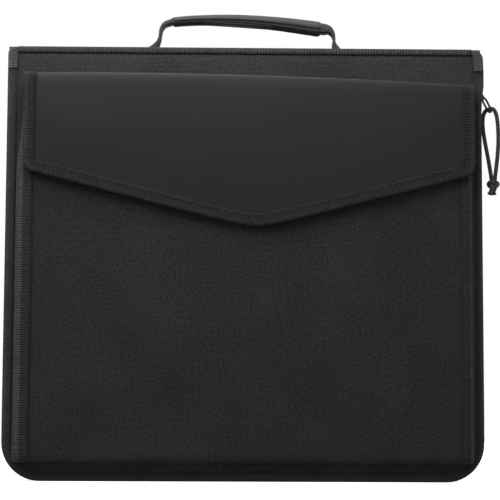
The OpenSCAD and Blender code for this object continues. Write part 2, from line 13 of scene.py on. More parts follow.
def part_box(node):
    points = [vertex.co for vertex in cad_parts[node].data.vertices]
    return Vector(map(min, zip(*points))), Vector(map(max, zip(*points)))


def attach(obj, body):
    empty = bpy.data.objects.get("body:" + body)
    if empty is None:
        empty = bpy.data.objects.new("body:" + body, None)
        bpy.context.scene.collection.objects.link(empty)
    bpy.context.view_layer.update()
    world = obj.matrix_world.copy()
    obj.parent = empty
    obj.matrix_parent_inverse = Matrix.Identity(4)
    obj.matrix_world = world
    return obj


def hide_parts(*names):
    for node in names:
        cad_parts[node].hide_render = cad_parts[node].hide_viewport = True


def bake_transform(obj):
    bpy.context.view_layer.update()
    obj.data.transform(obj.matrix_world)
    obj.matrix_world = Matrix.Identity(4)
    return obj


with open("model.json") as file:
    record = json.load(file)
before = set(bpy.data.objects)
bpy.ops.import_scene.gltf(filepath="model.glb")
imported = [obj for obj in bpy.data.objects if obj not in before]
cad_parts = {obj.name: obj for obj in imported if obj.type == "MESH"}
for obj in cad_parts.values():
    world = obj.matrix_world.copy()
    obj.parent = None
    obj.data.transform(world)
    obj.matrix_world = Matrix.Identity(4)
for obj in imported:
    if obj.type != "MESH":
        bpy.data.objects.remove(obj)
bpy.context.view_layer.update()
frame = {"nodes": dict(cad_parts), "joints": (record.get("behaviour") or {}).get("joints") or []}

MM = 0.001
RIGHT = Vector((1, 0, 0))
BACK = Vector((0, 1, 0))
UP = Vector((0, 0, 1))
SIDES = (("left", -1), ("right", 1))
CLOTH = "cloth"
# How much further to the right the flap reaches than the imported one
FLAP_REACHES = 1.2 * MM


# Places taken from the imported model

def low(node):
    """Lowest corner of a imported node."""
    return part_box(node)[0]


def high(node):
    """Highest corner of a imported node."""
    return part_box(node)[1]


joint_at = {j["name"]: Vector(j["pos_m"]) for j in frame["joints"] if "pos_m" in j}
half_w = high("front_binding").x
case_top = high("front_top_binding").z
front_y = low("front_panel").y
back_y = high("back_panel").y
zip_y = (front_y + back_y) / 2
skin_half = high("front_panel").x
skin_low = low("front_panel").z
skin_top = high("front_panel").z
skin_t = high("front_panel").y - front_y
lining_half = high("front_lining").x
lining_low = low("front_lining").z
inside_y = high("front_lining").y
gusset_end = high("front_gusset").y - front_y
wall_top = high("front_gusset").z
zip_tape_half = high("front_zip_tape").x
pocket_half = high("pocket_panel").x
pocket_low = low("pocket_panel").z
pocket_mouth = high("pocket_panel").z
pocket_rise = front_y - low("pocket_panel").y
flap_left = low("flap_binding").x
flap_right = high("flap_binding").x + FLAP_REACHES
flap_half = (flap_right - flap_left) / 2
flap_middle = (flap_left + flap_right) / 2
flap_face_y = low("flap_root").y
flap_mid_y = (low("flap_binding").y + high("flap_binding").y) / 2
flap_axis_z = joint_at["flap_fold"].z
roll_r = (front_y - flap_face_y) / 2
spine_front_y = low("spine_panel").y
spine_back_y = high("spine_panel").y
spine_z = high("spine_panel").z
hook = joint_at["cord_hang"]

# Sizes that the boxes don't give
BOTTOM_R = 27 * MM
TOP_R = 6 * MM
TAPE_T = 0.8 * MM
EDGE_TAPE_W = 6.8 * MM
RIGHT_TAPE_CUT = 2.2 * MM
RIGHT_WIDENS = (266 * MM, 285 * MM)
RIGHT_BULGE = 1.8 * MM
BULGE_ENDS = 9 * MM
MOUTH_TAPE_W = 7 * MM
MOUTH_LIP = 5 * MM
TOP_SHOWS_W = 4.8 * MM
THREAD_R = 0.27 * MM
STITCH = 3 * MM
SEAM_IN = 1.3 * MM
LINING_T = 0.7 * MM


# Shader maths

class Wire:
    """One shader socket. Arithmetic on it adds Math nodes to its finish."""

    def __init__(self, finish, socket):
        self.finish = finish
        self.socket = socket

    def math(self, operation, *values):
        inputs = dict(enumerate(values))
        return self.finish.node("ShaderNodeMath", {"operation": operation}, inputs)

    def __add__(self, other):
        return self.math("ADD", self, other)

    __radd__ = __add__

    def __sub__(self, other):
        return self.math("SUBTRACT", self, other)

    def __rsub__(self, other):
        return self.math("SUBTRACT", other, self)

    def __mul__(self, other):
        return self.math("MULTIPLY", self, other)

    __rmul__ = __mul__

    def __pow__(self, other):
        return self.math("POWER", self, other)

    def __abs__(self):
        return self.math("ABSOLUTE", self)

    def sin(self):
        return self.math("SINE", self)

    def larger(self, other):
        return self.math("MAXIMUM", self, other)

    def output(self, name):
        """Another output of the node that this socket belongs to."""
        return Wire(self.finish, self.socket.node.outputs[name])


class Finish:
    """A material under construction, with one Principled shader."""

    def __init__(self, name, **constants):
        self.material = bpy.data.materials.new(name)
        self.material.use_nodes = True
        self.tree = self.material.node_tree
        self.tree.nodes.clear()
        self.shader = self.tree.nodes.new("ShaderNodeBsdfPrincipled")
        target = self.tree.nodes.new("ShaderNodeOutputMaterial")
        self.tree.links.new(self.shader.outputs[0], target.inputs[0])
        for key, value in constants.items():
            self.shader.inputs[key.replace("_", " ")].default_value = value

    def feed(self, socket, value):
        if isinstance(value, Wire):
            self.tree.links.new(value.socket, socket)
        else:
            socket.default_value = value

    def node(self, kind, settings=None, inputs=None, output=0):
        """Any node: its settings, then the values or links of its sockets. Gives one output."""
        made = self.tree.nodes.new(kind)
        for key, value in (settings or {}).items():
            setattr(made, key, value)
        for key, value in (inputs or {}).items():
            self.feed(made.inputs[key], value)
        return Wire(self, made.outputs[output])

    def cloth(self):
        """Lengths along the cloth, in metres."""
        place = self.node("ShaderNodeUVMap", {"uv_map": CLOTH})
        parts = self.node("ShaderNodeSeparateXYZ", {}, {0: place})
        return place, parts.output("X"), parts.output("Y")

    def solid(self):
        """Places in the piece itself, for finishes that aren't cloth."""
        return self.node("ShaderNodeTexCoord", {}, {}, "Object")

    def noise(self, place, scale, detail=2.0):
        """Soft noise from 0 to 1, with about scale grains per metre."""
        settings = {"noise_dimensions": "3D"}
        inputs = {"Vector": place, "Scale": scale, "Detail": detail}
        return self.node("ShaderNodeTexNoise", settings, inputs)

    def rise(self, value, start, end, least):
        """A factor that rises smoothly from least to 1 between two lengths."""
        inputs = {"Value": value, "From Min": start, "From Max": end, "To Min": least}
        return self.node("ShaderNodeMapRange", {"interpolation_type": "SMOOTHSTEP"}, inputs)

    def mix(self, share, dark, light):
        """A colour between two."""
        inputs = {0: share, 6: dark, 7: light}
        return self.node("ShaderNodeMix", {"data_type": "RGBA", "clamp_factor": True}, inputs, 2)

    def surface(self, colour=None, roughness=None, height=None, depth=0.0, strength=1.0):
        """Feeds the shader: colour, roughness and a bump of some depth in metres."""
        if colour is not None:
            self.feed(self.shader.inputs["Base Color"], colour)
        if roughness is not None:
            self.feed(self.shader.inputs["Roughness"], roughness)
        if height is not None:
            inputs = {"Strength": strength, "Distance": depth, "Height": height}
            bump = self.node("ShaderNodeBump", {}, inputs)
            self.feed(self.shader.inputs["Normal"], bump)
        return self.material


COOL = -0.02


def grey(value, warm=0.0):
    """A near-neutral colour."""
    return (value * (1 + warm), value, value * (1 - warm), 1)


def weave(u, v, pitch):
    """A plain weave of threads along u and v: its height from 0 to 1, and which thread lies on
    top, from -1 to 1."""
    turn = math.pi / pitch
    across = (u * turn).sin()
    along = (v * turn).sin()
    over = across * along
    warp = abs(across) * (0.62 + over * 0.38)
    weft = abs(along) * (0.62 - over * 0.38)
    return warp.larger(weft), over


def woven(name, pitch, dark, light, roughness, depth, specular, sheen, checks=0.45):
    """Plain-woven cloth with slubs in its threads, whose crossing threads differ in tone by checks."""
    finish = Finish(name, Specular_IOR_Level=specular, Sheen_Weight=sheen, Sheen_Roughness=0.5)
    place, u, v = finish.cloth()
    threads, over = weave(u, v, pitch)
    slub = finish.noise(place, 520.0, 2.0)
    patch = finish.noise(place, 22.0, 3.0)
    # Painted shade and highlight: the tone follows the threads' height, lighter on their crowns and
    # darker in the gaps between them
    tone = (threads - 0.5) * 0.9 + over * checks + (slub - 0.5) * 1.6 + (patch - 0.5) * 0.8 + 0.4
    colour = finish.mix(tone, grey(dark, COOL), grey(light, COOL))
    rough = roughness + (patch - 0.5) * 0.16
    return finish.surface(colour, rough, threads + slub * 0.7, depth, 1.0)


def ribbed(name, pitch, dark, light, roughness, depth, specular, painted_shade_w=0.0, least=0.5):
    """Tape with ribs across it, each a bundle of fine threads. A line along its seam is painted dark
    as shade, and a strip of some width beside the seam is painted darker by a factor, as shade."""
    finish = Finish(name, Specular_IOR_Level=specular, Sheen_Weight=0.03, Sheen_Roughness=0.45)
    place, u, v = finish.cloth()
    across = abs(v)
    ribs = abs((u * (math.pi / pitch)).sin()) ** 0.7
    fine = abs((v * (math.pi / (0.45 * MM))).sin())
    wear = finish.noise(place, 90.0, 3.0)
    grain = finish.noise(place, 480.0, 2.0)
    # Painted highlight and shade: the ribs' crowns are lighter than the hollows between them
    tone = ribs * 0.5 + fine * 0.15 + (wear - 0.5) * 0.8 + (grain - 0.5) * 1.4 + 0.15
    # Painted shade: the tone darkens in a line along the seam
    tone = tone * finish.rise(across, 0.3 * MM, 1.2 * MM, 0.35)
    # Painted shade: the strip beside the seam is darkened by the factor least
    if painted_shade_w:
        tone = tone * finish.rise(across, painted_shade_w - 0.8 * MM, painted_shade_w + 0.8 * MM, least)
    colour = finish.mix(tone, grey(dark, COOL), grey(light, COOL))
    rough = roughness + (wear - 0.5) * 0.2
    return finish.surface(colour, rough, ribs + fine * 0.2 + grain * 0.3, depth, 1.0)


def grained(name, dark, light, roughness, depth, specular):
    """Coated cloth with a fine pebble grain and soft cloudy patches."""
    finish = Finish(name, Specular_IOR_Level=specular)
    place = finish.cloth()[0]
    settings = {"feature": "SMOOTH_F1"}
    pebbles = finish.node("ShaderNodeTexVoronoi", settings, {"Vector": place, "Scale": 950.0})
    fine = finish.noise(place, 2400.0, 2.0)
    cloud = finish.noise(place, 16.0, 3.0)
    scuff = finish.noise(place, 130.0, 4.0)
    tone = cloud * 0.7 + pebbles * 0.25 + (scuff - 0.5) * 0.5
    colour = finish.mix(tone, grey(dark, COOL), grey(light, COOL))
    rough = roughness + (cloud - 0.5) * 0.12 + (scuff - 0.5) * 0.14
    return finish.surface(colour, rough, pebbles + fine * 0.4, depth, 0.6)


def webbing(name, pitch, dark, light):
    """Strap woven in a herringbone of coarse threads."""
    finish = Finish(name, Specular_IOR_Level=0.35, Sheen_Weight=0.1, Sheen_Roughness=0.5)
    place, u, v = finish.cloth()
    zigzag = (v * (math.pi / (2.4 * pitch))).sin() * (0.8 * pitch)
    cords = abs(((u + zigzag) * (math.pi / pitch)).sin())
    picks = abs((v * (math.pi / (0.8 * pitch))).sin())
    fuzz = finish.noise(place, 600.0, 3.0)
    tone = cords * 0.9 + picks * 0.6 - 0.6 + (fuzz - 0.5) * 0.6
    colour = finish.mix(tone, grey(dark), grey(light))
    return finish.surface(colour, 0.72 + (fuzz - 0.5) * 0.2, cords * 0.7 + picks * 0.5, 0.4 * MM)


def braided(name, pitch, dark, light, specular, sheen):
    """Round cord of strands that cross in a braid."""
    finish = Finish(name, Specular_IOR_Level=specular, Sheen_Weight=sheen, Sheen_Roughness=0.5)
    place, u, v = finish.cloth()
    turn = math.pi / pitch
    strands, over = weave(u + v * 0.8, u - v * 0.8, pitch)
    fuzz = finish.noise(place, 900.0, 3.0)
    tone = strands * 0.7 + over * 0.2 + (fuzz - 0.5) * 0.6
    colour = finish.mix(tone, grey(dark), grey(light))
    return finish.surface(colour, 0.78, strands + abs((u * turn).sin()) * 0.2, 0.45 * MM)


def metal(name, dark, light, roughness, grain):
    """Dark plated metal with fine scratches and worn, brighter patches."""
    finish = Finish(name, Metallic=0.9)
    place = finish.solid()
    scratch = finish.noise(place, grain, 4.0)
    wear = finish.noise(place, 260.0, 3.0)
    colour = finish.mix(wear * 1.4 - 0.3, grey(dark), grey(light, 0.02))
    rough = roughness + (scratch - 0.5) * 0.2
    return finish.surface(colour, rough, scratch, 0.05 * MM, 0.5)


def moulded(name, dark, light, roughness):
    """Moulded plastic with a faint mould texture."""
    finish = Finish(name, Specular_IOR_Level=0.5)
    place = finish.solid()
    skin = finish.noise(place, 3000.0, 2.0)
    wear = finish.noise(place, 180.0, 3.0)
    colour = finish.mix(wear, grey(dark), grey(light))
    return finish.surface(colour, roughness + (wear - 0.5) * 0.15, skin, 0.05 * MM, 0.4)


def card(name):
    """Dark board with pressed fibres."""
    finish = Finish(name, Specular_IOR_Level=0.2)
    place = finish.solid()
    fibre = finish.noise(place, 700.0, 5.0)
    patch = finish.noise(place, 40.0, 3.0)
    colour = finish.mix(fibre * 0.6 + patch * 0.5, grey(0.015, 0.05), grey(0.045, 0.05))
    return finish.surface(colour, 0.85 + (patch - 0.5) * 0.1, fibre, 0.15 * MM, 0.6)


def pile(name, grain):
    """Hooks or loops of a touch fastener, as a dense pile."""
    finish = Finish(name, Specular_IOR_Level=0.25, Sheen_Weight=0.3, Sheen_Roughness=0.6)
    place = finish.cloth()[0]
    tufts = finish.node("ShaderNodeTexVoronoi", {}, {"Vector": place, "Scale": grain})
    fuzz = finish.noise(place, 1500.0, 4.0)
    colour = finish.mix(tufts * 1.2 + (fuzz - 0.5) * 0.6, grey(0.03), grey(0.012))
    return finish.surface(colour, 0.9, fuzz - tufts * 1.5, 0.6 * MM)


def floor_paint(name):
    """Pale matt floor."""
    finish = Finish(name, Specular_IOR_Level=0.1, Emission_Color=(1, 1, 1, 1), Emission_Strength=0.8)
    place = finish.solid()
    patch = finish.noise(place, 3.0, 2.0)
    colour = finish.mix(patch, grey(0.90), grey(0.93))
    return finish.surface(colour, 0.9)


FABRIC = woven("pocket_fabric", 0.82 * MM, 0.004, 0.033, 0.74, 0.5 * MM, 0.20, 0.03, 0.3)
# The covers' cloth is painted lighter than the pocket's, for the brighter light that falls on the case's
# upper strip; its coarser, more checked weave is its own
COVER = woven("cover_fabric", 0.95 * MM, 0.005, 0.054, 0.74, 0.5 * MM, 0.20, 0.03, 0.8)
LINING = woven("lining_cloth", 0.5 * MM, 0.022, 0.042, 0.62, 0.12 * MM, 0.35, 0.05)
# Where a tape has them, its last two numbers give the width of the strip beside its seam that is painted
# darker as shade, and the factor that darkens it
EDGE_TAPE = ribbed("ribbed_tape", 1.45 * MM, 0.006, 0.048, 0.68, 0.35 * MM, 0.2, 4.6 * MM, 0.55)
# Painted highlight: a lighter copy of the edge tape, for the corner tapes at the case's top where the
# light falls
CORNER_TAPE_PAINTED_HIGHLIGHT = ribbed("corner_tape_painted_highlight", 1.45 * MM, 0.008, 0.085, 0.68, 0.35 * MM, 0.25, 4.6 * MM, 0.6)
FLAP_TAPE = ribbed("flap_ribbed_tape", 1.45 * MM, 0.005, 0.036, 0.7, 0.35 * MM, 0.12, 5.6 * MM, 0.45)
# The pocket tape's light tone is raised so that its rounded outer edge is painted lighter, as a
# highlight, beside its strongly shaded inner strip
POCKET_TAPE = ribbed("pocket_ribbed_tape", 1.7 * MM, 0.005, 0.072, 0.68, 0.4 * MM, 0.18, 7 * MM, 0.28)
TOP_TAPE = ribbed("beaded_tape", 2.1 * MM, 0.004, 0.036, 0.6, 0.9 * MM, 0.3)
ZIP_TAPE = ribbed("zip_tape_cloth", 0.8 * MM, 0.009, 0.026, 0.7, 0.2 * MM, 0.3)
FLAP_SKIN = grained("flap_leatherette", 0.0075, 0.0125, 0.50, 0.08 * MM, 0.22)
# The grip's leatherette is lighter than the flap's; part of that lightness is painted, for the frontal
# light and reflections that the grip catches
GRIP_SKIN = grained("grip_leatherette", 0.034, 0.052, 0.65, 0.12 * MM, 0.15)
WEBBING = webbing("strap_webbing", 1.6 * MM, 0.003, 0.08)
CORD = braided("braided_cord", 0.9 * MM, 0.02, 0.11, 0.3, 0.15)
THREAD = braided("sewing_thread", 0.3 * MM, 0.004, 0.016, 0.1, 0.0)
ZIP_METAL = metal("dark_metal", 0.02, 0.07, 0.4, 900.0)
TEETH = moulded("zip_teeth_plastic", 0.012, 0.03, 0.38)
BOARD = card("dark_board")
HOOKS = pile("hook_pile", 900.0)
LOOPS = pile("loop_pile", 500.0)


# Meshes

def build(name, verts, faces, uvs, finish, closed=False):
    """A new piece from points, faces and the cloth lengths at each face's corners."""
    mesh = bpy.data.meshes.new(name)
    mesh.from_pydata([tuple(p) for p in verts], [], faces)
    layer = mesh.uv_layers.new(name=CLOTH)
    layer.data.foreach_set("uv", [c for face in uvs for uv in face for c in uv])
    mesh.polygons.foreach_set("use_smooth", [True] * len(faces))
    mesh.materials.append(finish)
    if closed:
        shell = bmesh.new()
        shell.from_mesh(mesh)
        bmesh.ops.recalc_face_normals(shell, faces=shell.faces)
        shell.to_mesh(mesh)
        shell.free()
    mesh.update()
    piece = bpy.data.objects.new(name, mesh)
    bpy.context.scene.collection.objects.link(piece)
    return piece


def place(piece, body, slot, *nodes):
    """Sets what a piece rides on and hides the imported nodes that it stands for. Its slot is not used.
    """
    if body:
        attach(piece, body)
    if nodes:
        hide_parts(*nodes)
    return piece


def sheet(name, rows, cloth, thick, finish, flip=False):
    """Cloth over rows of points; flip turns its outer side to the other side."""
    cols = len(rows[0])
    faces, uvs = [], []
    for r in range(len(rows) - 1):
        for c in range(cols - 1):
            corners = [(r, c), (r, c + 1), (r + 1, c + 1), (r + 1, c)]
            if flip:
                corners.reverse()
            faces.append([i * cols + k for i, k in corners])
            uvs.append([cloth[i][k] for i, k in corners])
    piece = build(name, [p for row in rows for p in row], faces, uvs, finish)
    solid = piece.modifiers.new("thickness", "SOLIDIFY")
    solid.thickness = thick
    solid.offset = -1
    return piece


def lengths_along(line):
    """Lengths along a line of points, from 0 at its start."""
    found = [0.0]
    for p, q in zip(line, line[1:]):
        found.append(found[-1] + (q - p).length)
    return found


def loft(name, rings, finish, seam_last=False):
    """Closed skin over rings of points. Cloth lengths round a ring start at its first point, or
    end at its last one."""
    count, sides = len(rings), len(rings[0])
    along = [0.0]
    for a, b in zip(rings, rings[1:]):
        along.append(along[-1] + sum((q - p).length for p, q in zip(a, b)) / sides)
    middle = rings[count // 2]
    around = lengths_along([*middle, middle[0]])
    if seam_last:
        around = [a - around[-1] for a in around]
    faces, uvs = [], []
    for i in range(count - 1):
        for k in range(sides):
            n = (k + 1) % sides
            faces.append([i * sides + k, (i + 1) * sides + k, (i + 1) * sides + n, i * sides + n])
            uvs.append([(along[i], around[k]), (along[i + 1], around[k]),
                        (along[i + 1], around[k + 1]), (along[i], around[k + 1])])
    for end, first in ((0, 0), (count - 1, (count - 1) * sides)):
        faces.append([first + k for k in range(sides)])
        uvs.append([(along[end], around[k]) for k in range(sides)])
    return build(name, [p for ring in rings for p in ring], faces, uvs, finish, closed=True)


def spread(start, end, steps):
    """Even steps from start to end."""
    return [start + (end - start) * i / steps for i in range(steps + 1)]


def circle(count):
    """Even angles round a circle, in radians."""
    return spread(0, 2 * math.pi, count)[:-1]


def turned(degrees):
    """Cosine and sine of an angle."""
    a = math.radians(degrees)
    return math.cos(a), math.sin(a)


def arc(middle, r, start, end, steps):
    """Points round a middle, between two angles in degrees."""
    return [(middle[0] + r * c, middle[1] + r * s) for c, s in map(turned, spread(start, end, steps))]


def run_at(line, i):
    """The way a line goes at one of its points, from the point before to the point after."""
    return line[min(i + 1, len(line) - 1)] - line[max(i - 1, 0)]


def ease(value, start, end):
    """0 at start, 1 at end, smooth between them."""
    share = min(max((value - start) / (end - start), 0), 1)
    return share * share * (3 - 2 * share)


def ripple(x, z, size, seed):
    """Soft waves in cloth, from about -1 to 1, each some size across."""
    return noise.noise(Vector((x / size, z / size, seed)))


def ribbon(line, thick):
    """Outline of a tape's section whose middle follows a line."""
    line = [Vector(p) for p in line]
    one, other = [], []
    for i, p in enumerate(line):
        run = run_at(line, i)
        side = Vector((-run.y, run.x)).normalized() * (thick / 2)
        one.append(p + side)
        other.append(p - side)
    tip = 0.35 * thick
    start = line[0] + (line[0] - line[1]).normalized() * tip
    end = line[-1] + (line[-1] - line[-2]).normalized() * tip
    return [start, *one, end, *reversed(other)]


def folded(width, near, far, lip, thick=TAPE_T):
    """Section of a tape folded round an edge: a face that shows, a round fold and a lip behind.
    Measured outward from the edge, and in depth between the middles of its two layers."""
    r = (far - near) / 2
    fold = (-r - thick / 2, (near + far) / 2)
    inner = min(-width, fold[0] - 1 * MM)
    face = [(inner, near + 0.1 * MM)]
    face += [(inner + (fold[0] - inner) * share, near - 0.1 * MM) for share in (0.3, 0.7)]
    return ribbon(face + arc(fold, r, -90, 90, 8) + [(fold[0] - lip, far)], thick)


def carried(stations, section):
    """Rings of a section carried along stations of (point, outward, depth, cut). The section is
    an outline, or a function that gives one for a station's cut."""
    rings = []
    for point, outward, depth, cut in stations:
        outline = section(cut) if callable(section) else section
        rings.append([point + outward * a + depth * b for a, b in outline])
    return rings


def straight(reach, y, z, depth, steps):
    """Stations along a level edge that faces up."""
    return [(Vector((x, y, z)), UP, depth, 0) for x in spread(-reach, reach, steps)]


def stitch_places(row, stitch):
    """Even places along a row of (point, outward) pairs: the middle, outward and the row's way."""
    travelled, due = 0.0, stitch / 2
    for (p, n), (q, m) in zip(row, row[1:]):
        length = (q - p).length
        while length > 0 and due <= travelled + length:
            share = (due - travelled) / length
            yield p.lerp(q, share), n.lerp(m, share).normalized(), (q - p) / length
            due += stitch
        travelled += length


def sewn(name, rows, stitch=STITCH):
    """Rows of stitches as one piece, each stitch a plump thread that dips at its ends."""
    sides, ends = 6, (-1, -0.6, 0, 0.6, 1)
    last = (len(ends) - 1) * sides
    verts, faces, uvs = [], [], []
    for middle, out, run in (found for row in rows for found in stitch_places(row, stitch)):
        side = run.cross(out)
        first = len(verts)
        for e in ends:
            r = THREAD_R * math.sqrt(1.06 - e * e)
            centre = middle + run * (0.38 * stitch * e) - out * (THREAD_R * (0.2 + 0.9 * e * e))
            for a in circle(sides):
                verts.append(centre + out * (r * math.cos(a)) + side * (r * math.sin(a)))
        for i in range(len(ends) - 1):
            for k in range(sides):
                corners = [(i, k), (i, k + 1), (i + 1, k + 1), (i + 1, k)]
                faces.append([first + a * sides + b % sides for a, b in corners])
                uvs.append([(a * THREAD_R, b * THREAD_R) for a, b in corners])
        for start in (first, first + last):
            faces.append([start + k for k in range(sides)])
            uvs.append([(0, k * THREAD_R) for k in range(sides)])
    return build(name, verts, faces, uvs, THREAD, closed=True)


def tube_rings(path, radii, sides, across=BACK):
    """Rings of a round tube along a path."""
    rings = []
    for i, p in enumerate(path):
        run = run_at(path, i).normalized()
        u = across.cross(run).normalized()
        v = run.cross(u)
        rings.append([p + (u * math.cos(a) + v * math.sin(a)) * radii[i] for a in circle(sides)])
    return rings


def smooth_path(points, steps):
    """A smooth curve through points."""
    points = [Vector(p) for p in points]
    path = []
    last = len(points) - 1
    for i in range(last):
        p0, p1, p2, p3 = (points[min(max(i + k, 0), last)] for k in (-1, 0, 1, 2))
        for s in range(steps):
            t = s / steps
            path.append(0.5 * (2 * p1 + (p2 - p0) * t + (2 * p0 - 5 * p1 + 4 * p2 - p3) * t * t
                               + (3 * p1 - p0 - 3 * p2 + p3) * t ** 3))
    return [*path, points[last]]


def joined(name, pieces):
    """Several meshes as one piece."""
    bpy.ops.object.select_all(action="DESELECT")
    for piece in pieces:
        piece.select_set(True)
    bpy.context.view_layer.objects.active = pieces[0]
    bpy.ops.object.join()
    pieces[0].name = name
    return pieces[0]


# Camera, at the photograph's viewing angle

CAMERA_AT = (-15.7 * MM, -1200 * MM, 47.2 * MM)
CAMERA_PITCH = 5.62
CAMERA_ROLL = -0.24
CAMERA_YAW = -0.98
CAMERA_LENS = 120.4

camera = bpy.data.objects.new("camera", bpy.data.cameras.new("camera"))
camera.location = CAMERA_AT
camera.rotation_euler = [math.radians(a) for a in (90 + CAMERA_PITCH, CAMERA_ROLL, CAMERA_YAW)]
camera.data.lens = CAMERA_LENS
camera.data.sensor_width = 36
bpy.context.scene.collection.objects.link(camera)
bpy.context.scene.camera = camera

# Pull cord: from the knot up one side of the loop, through the tab's slot and down the other
# side, as distances in millimetres from the middle of the slot

CORD_D = 3 * MM
CORD_ROUTE = [
    (1.7, 0.9, -53.5), (1.4, 1.3, -49.5), (0.9, 1.8, -45.5), (0.3, 2.4, -41), (-0.3, 3.0, -36.5),
    (-1.0, 3.6, -32), (-1.7, 4.2, -27.5), (-2.4, 4.8, -23), (-3.0, 5.2, -18.5), (-3.5, 5.4, -14),
    (-3.8, 5.0, -9.5), (-3.7, 3.9, -5.6), (-3.0, 2.2, -2.6), (-1.6, 0.8, -0.8), (0, 0, 0),
    (1.8, -0.8, 0.2), (3.6, -1.7, -1.0), (5.0, -2.2, -4.2), (5.8, -2.4, -8.6), (6.2, -2.4, -13.4),
    (6.4, -2.4, -18.2), (6.4, -2.3, -23), (6.3, -2.2, -27.5), (6.0, -2.0, -32), (5.6, -1.8, -36.5),
    (5.1, -1.5, -41), (4.6, -1.2, -45.5), (4.1, -1.0, -49.5), (3.7, -0.8, -53.5)
]
KNOT_AT = hook + Vector((2.7, 0, -56.5)) * MM
KNOT_WIDE = 1.2075 * MM
KNOT_DEEP = 1.575 * MM
KNOT_SQUEEZE = 0.46
TAIL_L = 4.5 * MM


def knot():
    """A tight overhand knot of the cord with two short tails that widen at their ends."""
    path = []
    for t in spread(0, 2 * math.pi, 96):
        x = KNOT_WIDE * (math.sin(t) + 2 * math.sin(2 * t))
        z = KNOT_WIDE * (math.cos(t) - 2 * math.cos(2 * t))
        path.append(KNOT_AT + Vector((x, -KNOT_DEEP * math.sin(3 * t), z)))
    rings = tube_rings(path, [KNOT_SQUEEZE * CORD_D] * len(path), 12)
    pieces = [loft("pull_knot_turns", rings, CORD)]
    for lean, out in ((-0.42, -0.25), (0.1, 0.3)):
        start = KNOT_AT + Vector((lean, out, -1)) * (2 * MM)
        tail = [start + Vector((lean * s, out * s, -s)) * TAIL_L for s in spread(0, 1, 8)]
        radii = [0.5 * CORD_D * (1 + 0.12 * max(0, i - 5)) for i in range(9)]
        pieces.append(loft("pull_knot_tail", tube_rings(tail, radii, 12), CORD))
    return place(joined("cord_knot", pieces), "cord", "cord", "pull_knot")


def pull_cord():
    """The two sides of the cord loop, each from the tab's slot down to the knot."""
    ending = knot()
    top = CORD_ROUTE.index((0, 0, 0))
    sides = {"cord_left_side": CORD_ROUTE[top::-1], "cord_right_side": CORD_ROUTE[top:]}
    for name, route in sides.items():
        path = smooth_path([hook + Vector(p) * MM for p in route], 4)
        cord = loft(name, tube_rings(path, [CORD_D / 2] * len(path), 14), CORD)
        place(cord, "cord", "cord", "pull_cord")
        lengths_along(path)[-1]


pull_cord()

# Outlines

def rounded_half(half, bottom, r):
    """Half width of an outline with round bottom corners, at a height."""
    def at(z):
        drop = min(max(bottom + r - z, 0), r)
        return half - r + math.sqrt(r * r - drop * drop)
    return at


def levels(bottom, r, top, bends=8, rows=26):
    """Heights of a panel's rows: close together in the round corners, then even."""
    corner = [bottom + r * (1 - turned(a)[0]) for a in spread(0, 90, bends)[:-1]]
    return corner + spread(bottom + r, top, rows)


def panel_rows(half_at, heights, columns, y_at):
    """Rows of points of a flat panel, and its cloth lengths."""
    rows = [[Vector((t * half_at(z), y_at(t * half_at(z), z), z)) for t in columns] for z in heights]
    return rows, [[(p.x, p.z) for p in row] for row in rows]


def top_cut(z):
    """How much the round top corner takes off the case's side at a height."""
    rise = max(z - (case_top - TOP_R), 0)
    return TOP_R - math.sqrt(max(TOP_R ** 2 - rise ** 2, 0))


def case_edge(top, y, depth):
    """Stations along the case's edge: down the left side, round the bottom, up the right."""
    corner_x = half_w - BOTTOM_R
    right = [(x, 0, 0, -1) for x in spread(0, corner_x, 14)[:-1]]
    for c, s in map(turned, spread(-90, 0, 12)[:-1]):
        right.append((corner_x + BOTTOM_R * c, BOTTOM_R + BOTTOM_R * s, c, s))
    bend = min(top, case_top - TOP_R)
    sides = spread(BOTTOM_R, bend, 26)
    if top > bend:
        sides += [bend + (top - bend) * s for c, s in map(turned, spread(0, 90, 8)[1:])]
    right += [(half_w - top_cut(z), z, 1, 0) for z in sides]
    left = [(-x, z, -nx, nz) for x, z, nx, nz in reversed(right[1:])]
    stations = []
    for x, z, nx, nz in left + right:
        narrow = RIGHT_TAPE_CUT * max(nx, 0) * (1 - ease(z, *RIGHT_WIDENS))
        cut = narrow + (top_cut(z) if nz == 0 else 0)
        stations.append((Vector((x, y, z)), Vector((nx, 0, nz)), depth, cut))
    return stations


# Covers

EDGE_NEAR = -TAPE_T / 2
EDGE_FAR = 2.4 * MM
EDGE_LIP = 1.6 * MM
# How far below the case's top the edge tapes and the corner tapes end
EDGE_END = 1.4 * MM
CORNER_END = 1.2 * MM
CORNER_OVER = 0.55 * MM
CORNER_CAP = 0.3 * MM
TOP_SEAM_IN = 0.9 * MM
GUSSET_SEAM_IN = 2.5 * MM
CROWN = {"front": 0.25 * MM, "back": 1.3 * MM}
BACK_WAVE = 0.3 * MM
LINING_SLACK = 0.35 * MM
EDGE_LEAN = math.radians(13)
CORNER_TAPE_L = 17 * MM
TOP_FAR = 4.2 * MM
GUSSET_T = 1.4 * MM
# The gusset's bow in millimetres: outwards from its ends, and how far behind the cover's face
GUSSET_BOW = [(0.8, 1.5), (0.2, 1.7), (0, 2.4), (0.5, 6), (0.8, 9), (0.5, 13)]
ZIP_TAPE_T = 0.8 * MM
COLUMNS = spread(-1, 1, 40)


def slack(x, z, power):
    """Share of a cover's fullness at a place: 1 in its middle, 0 at its edges."""
    return (1 - (x / half_w) ** power) * (1 - (2 * z / case_top - 1) ** power)


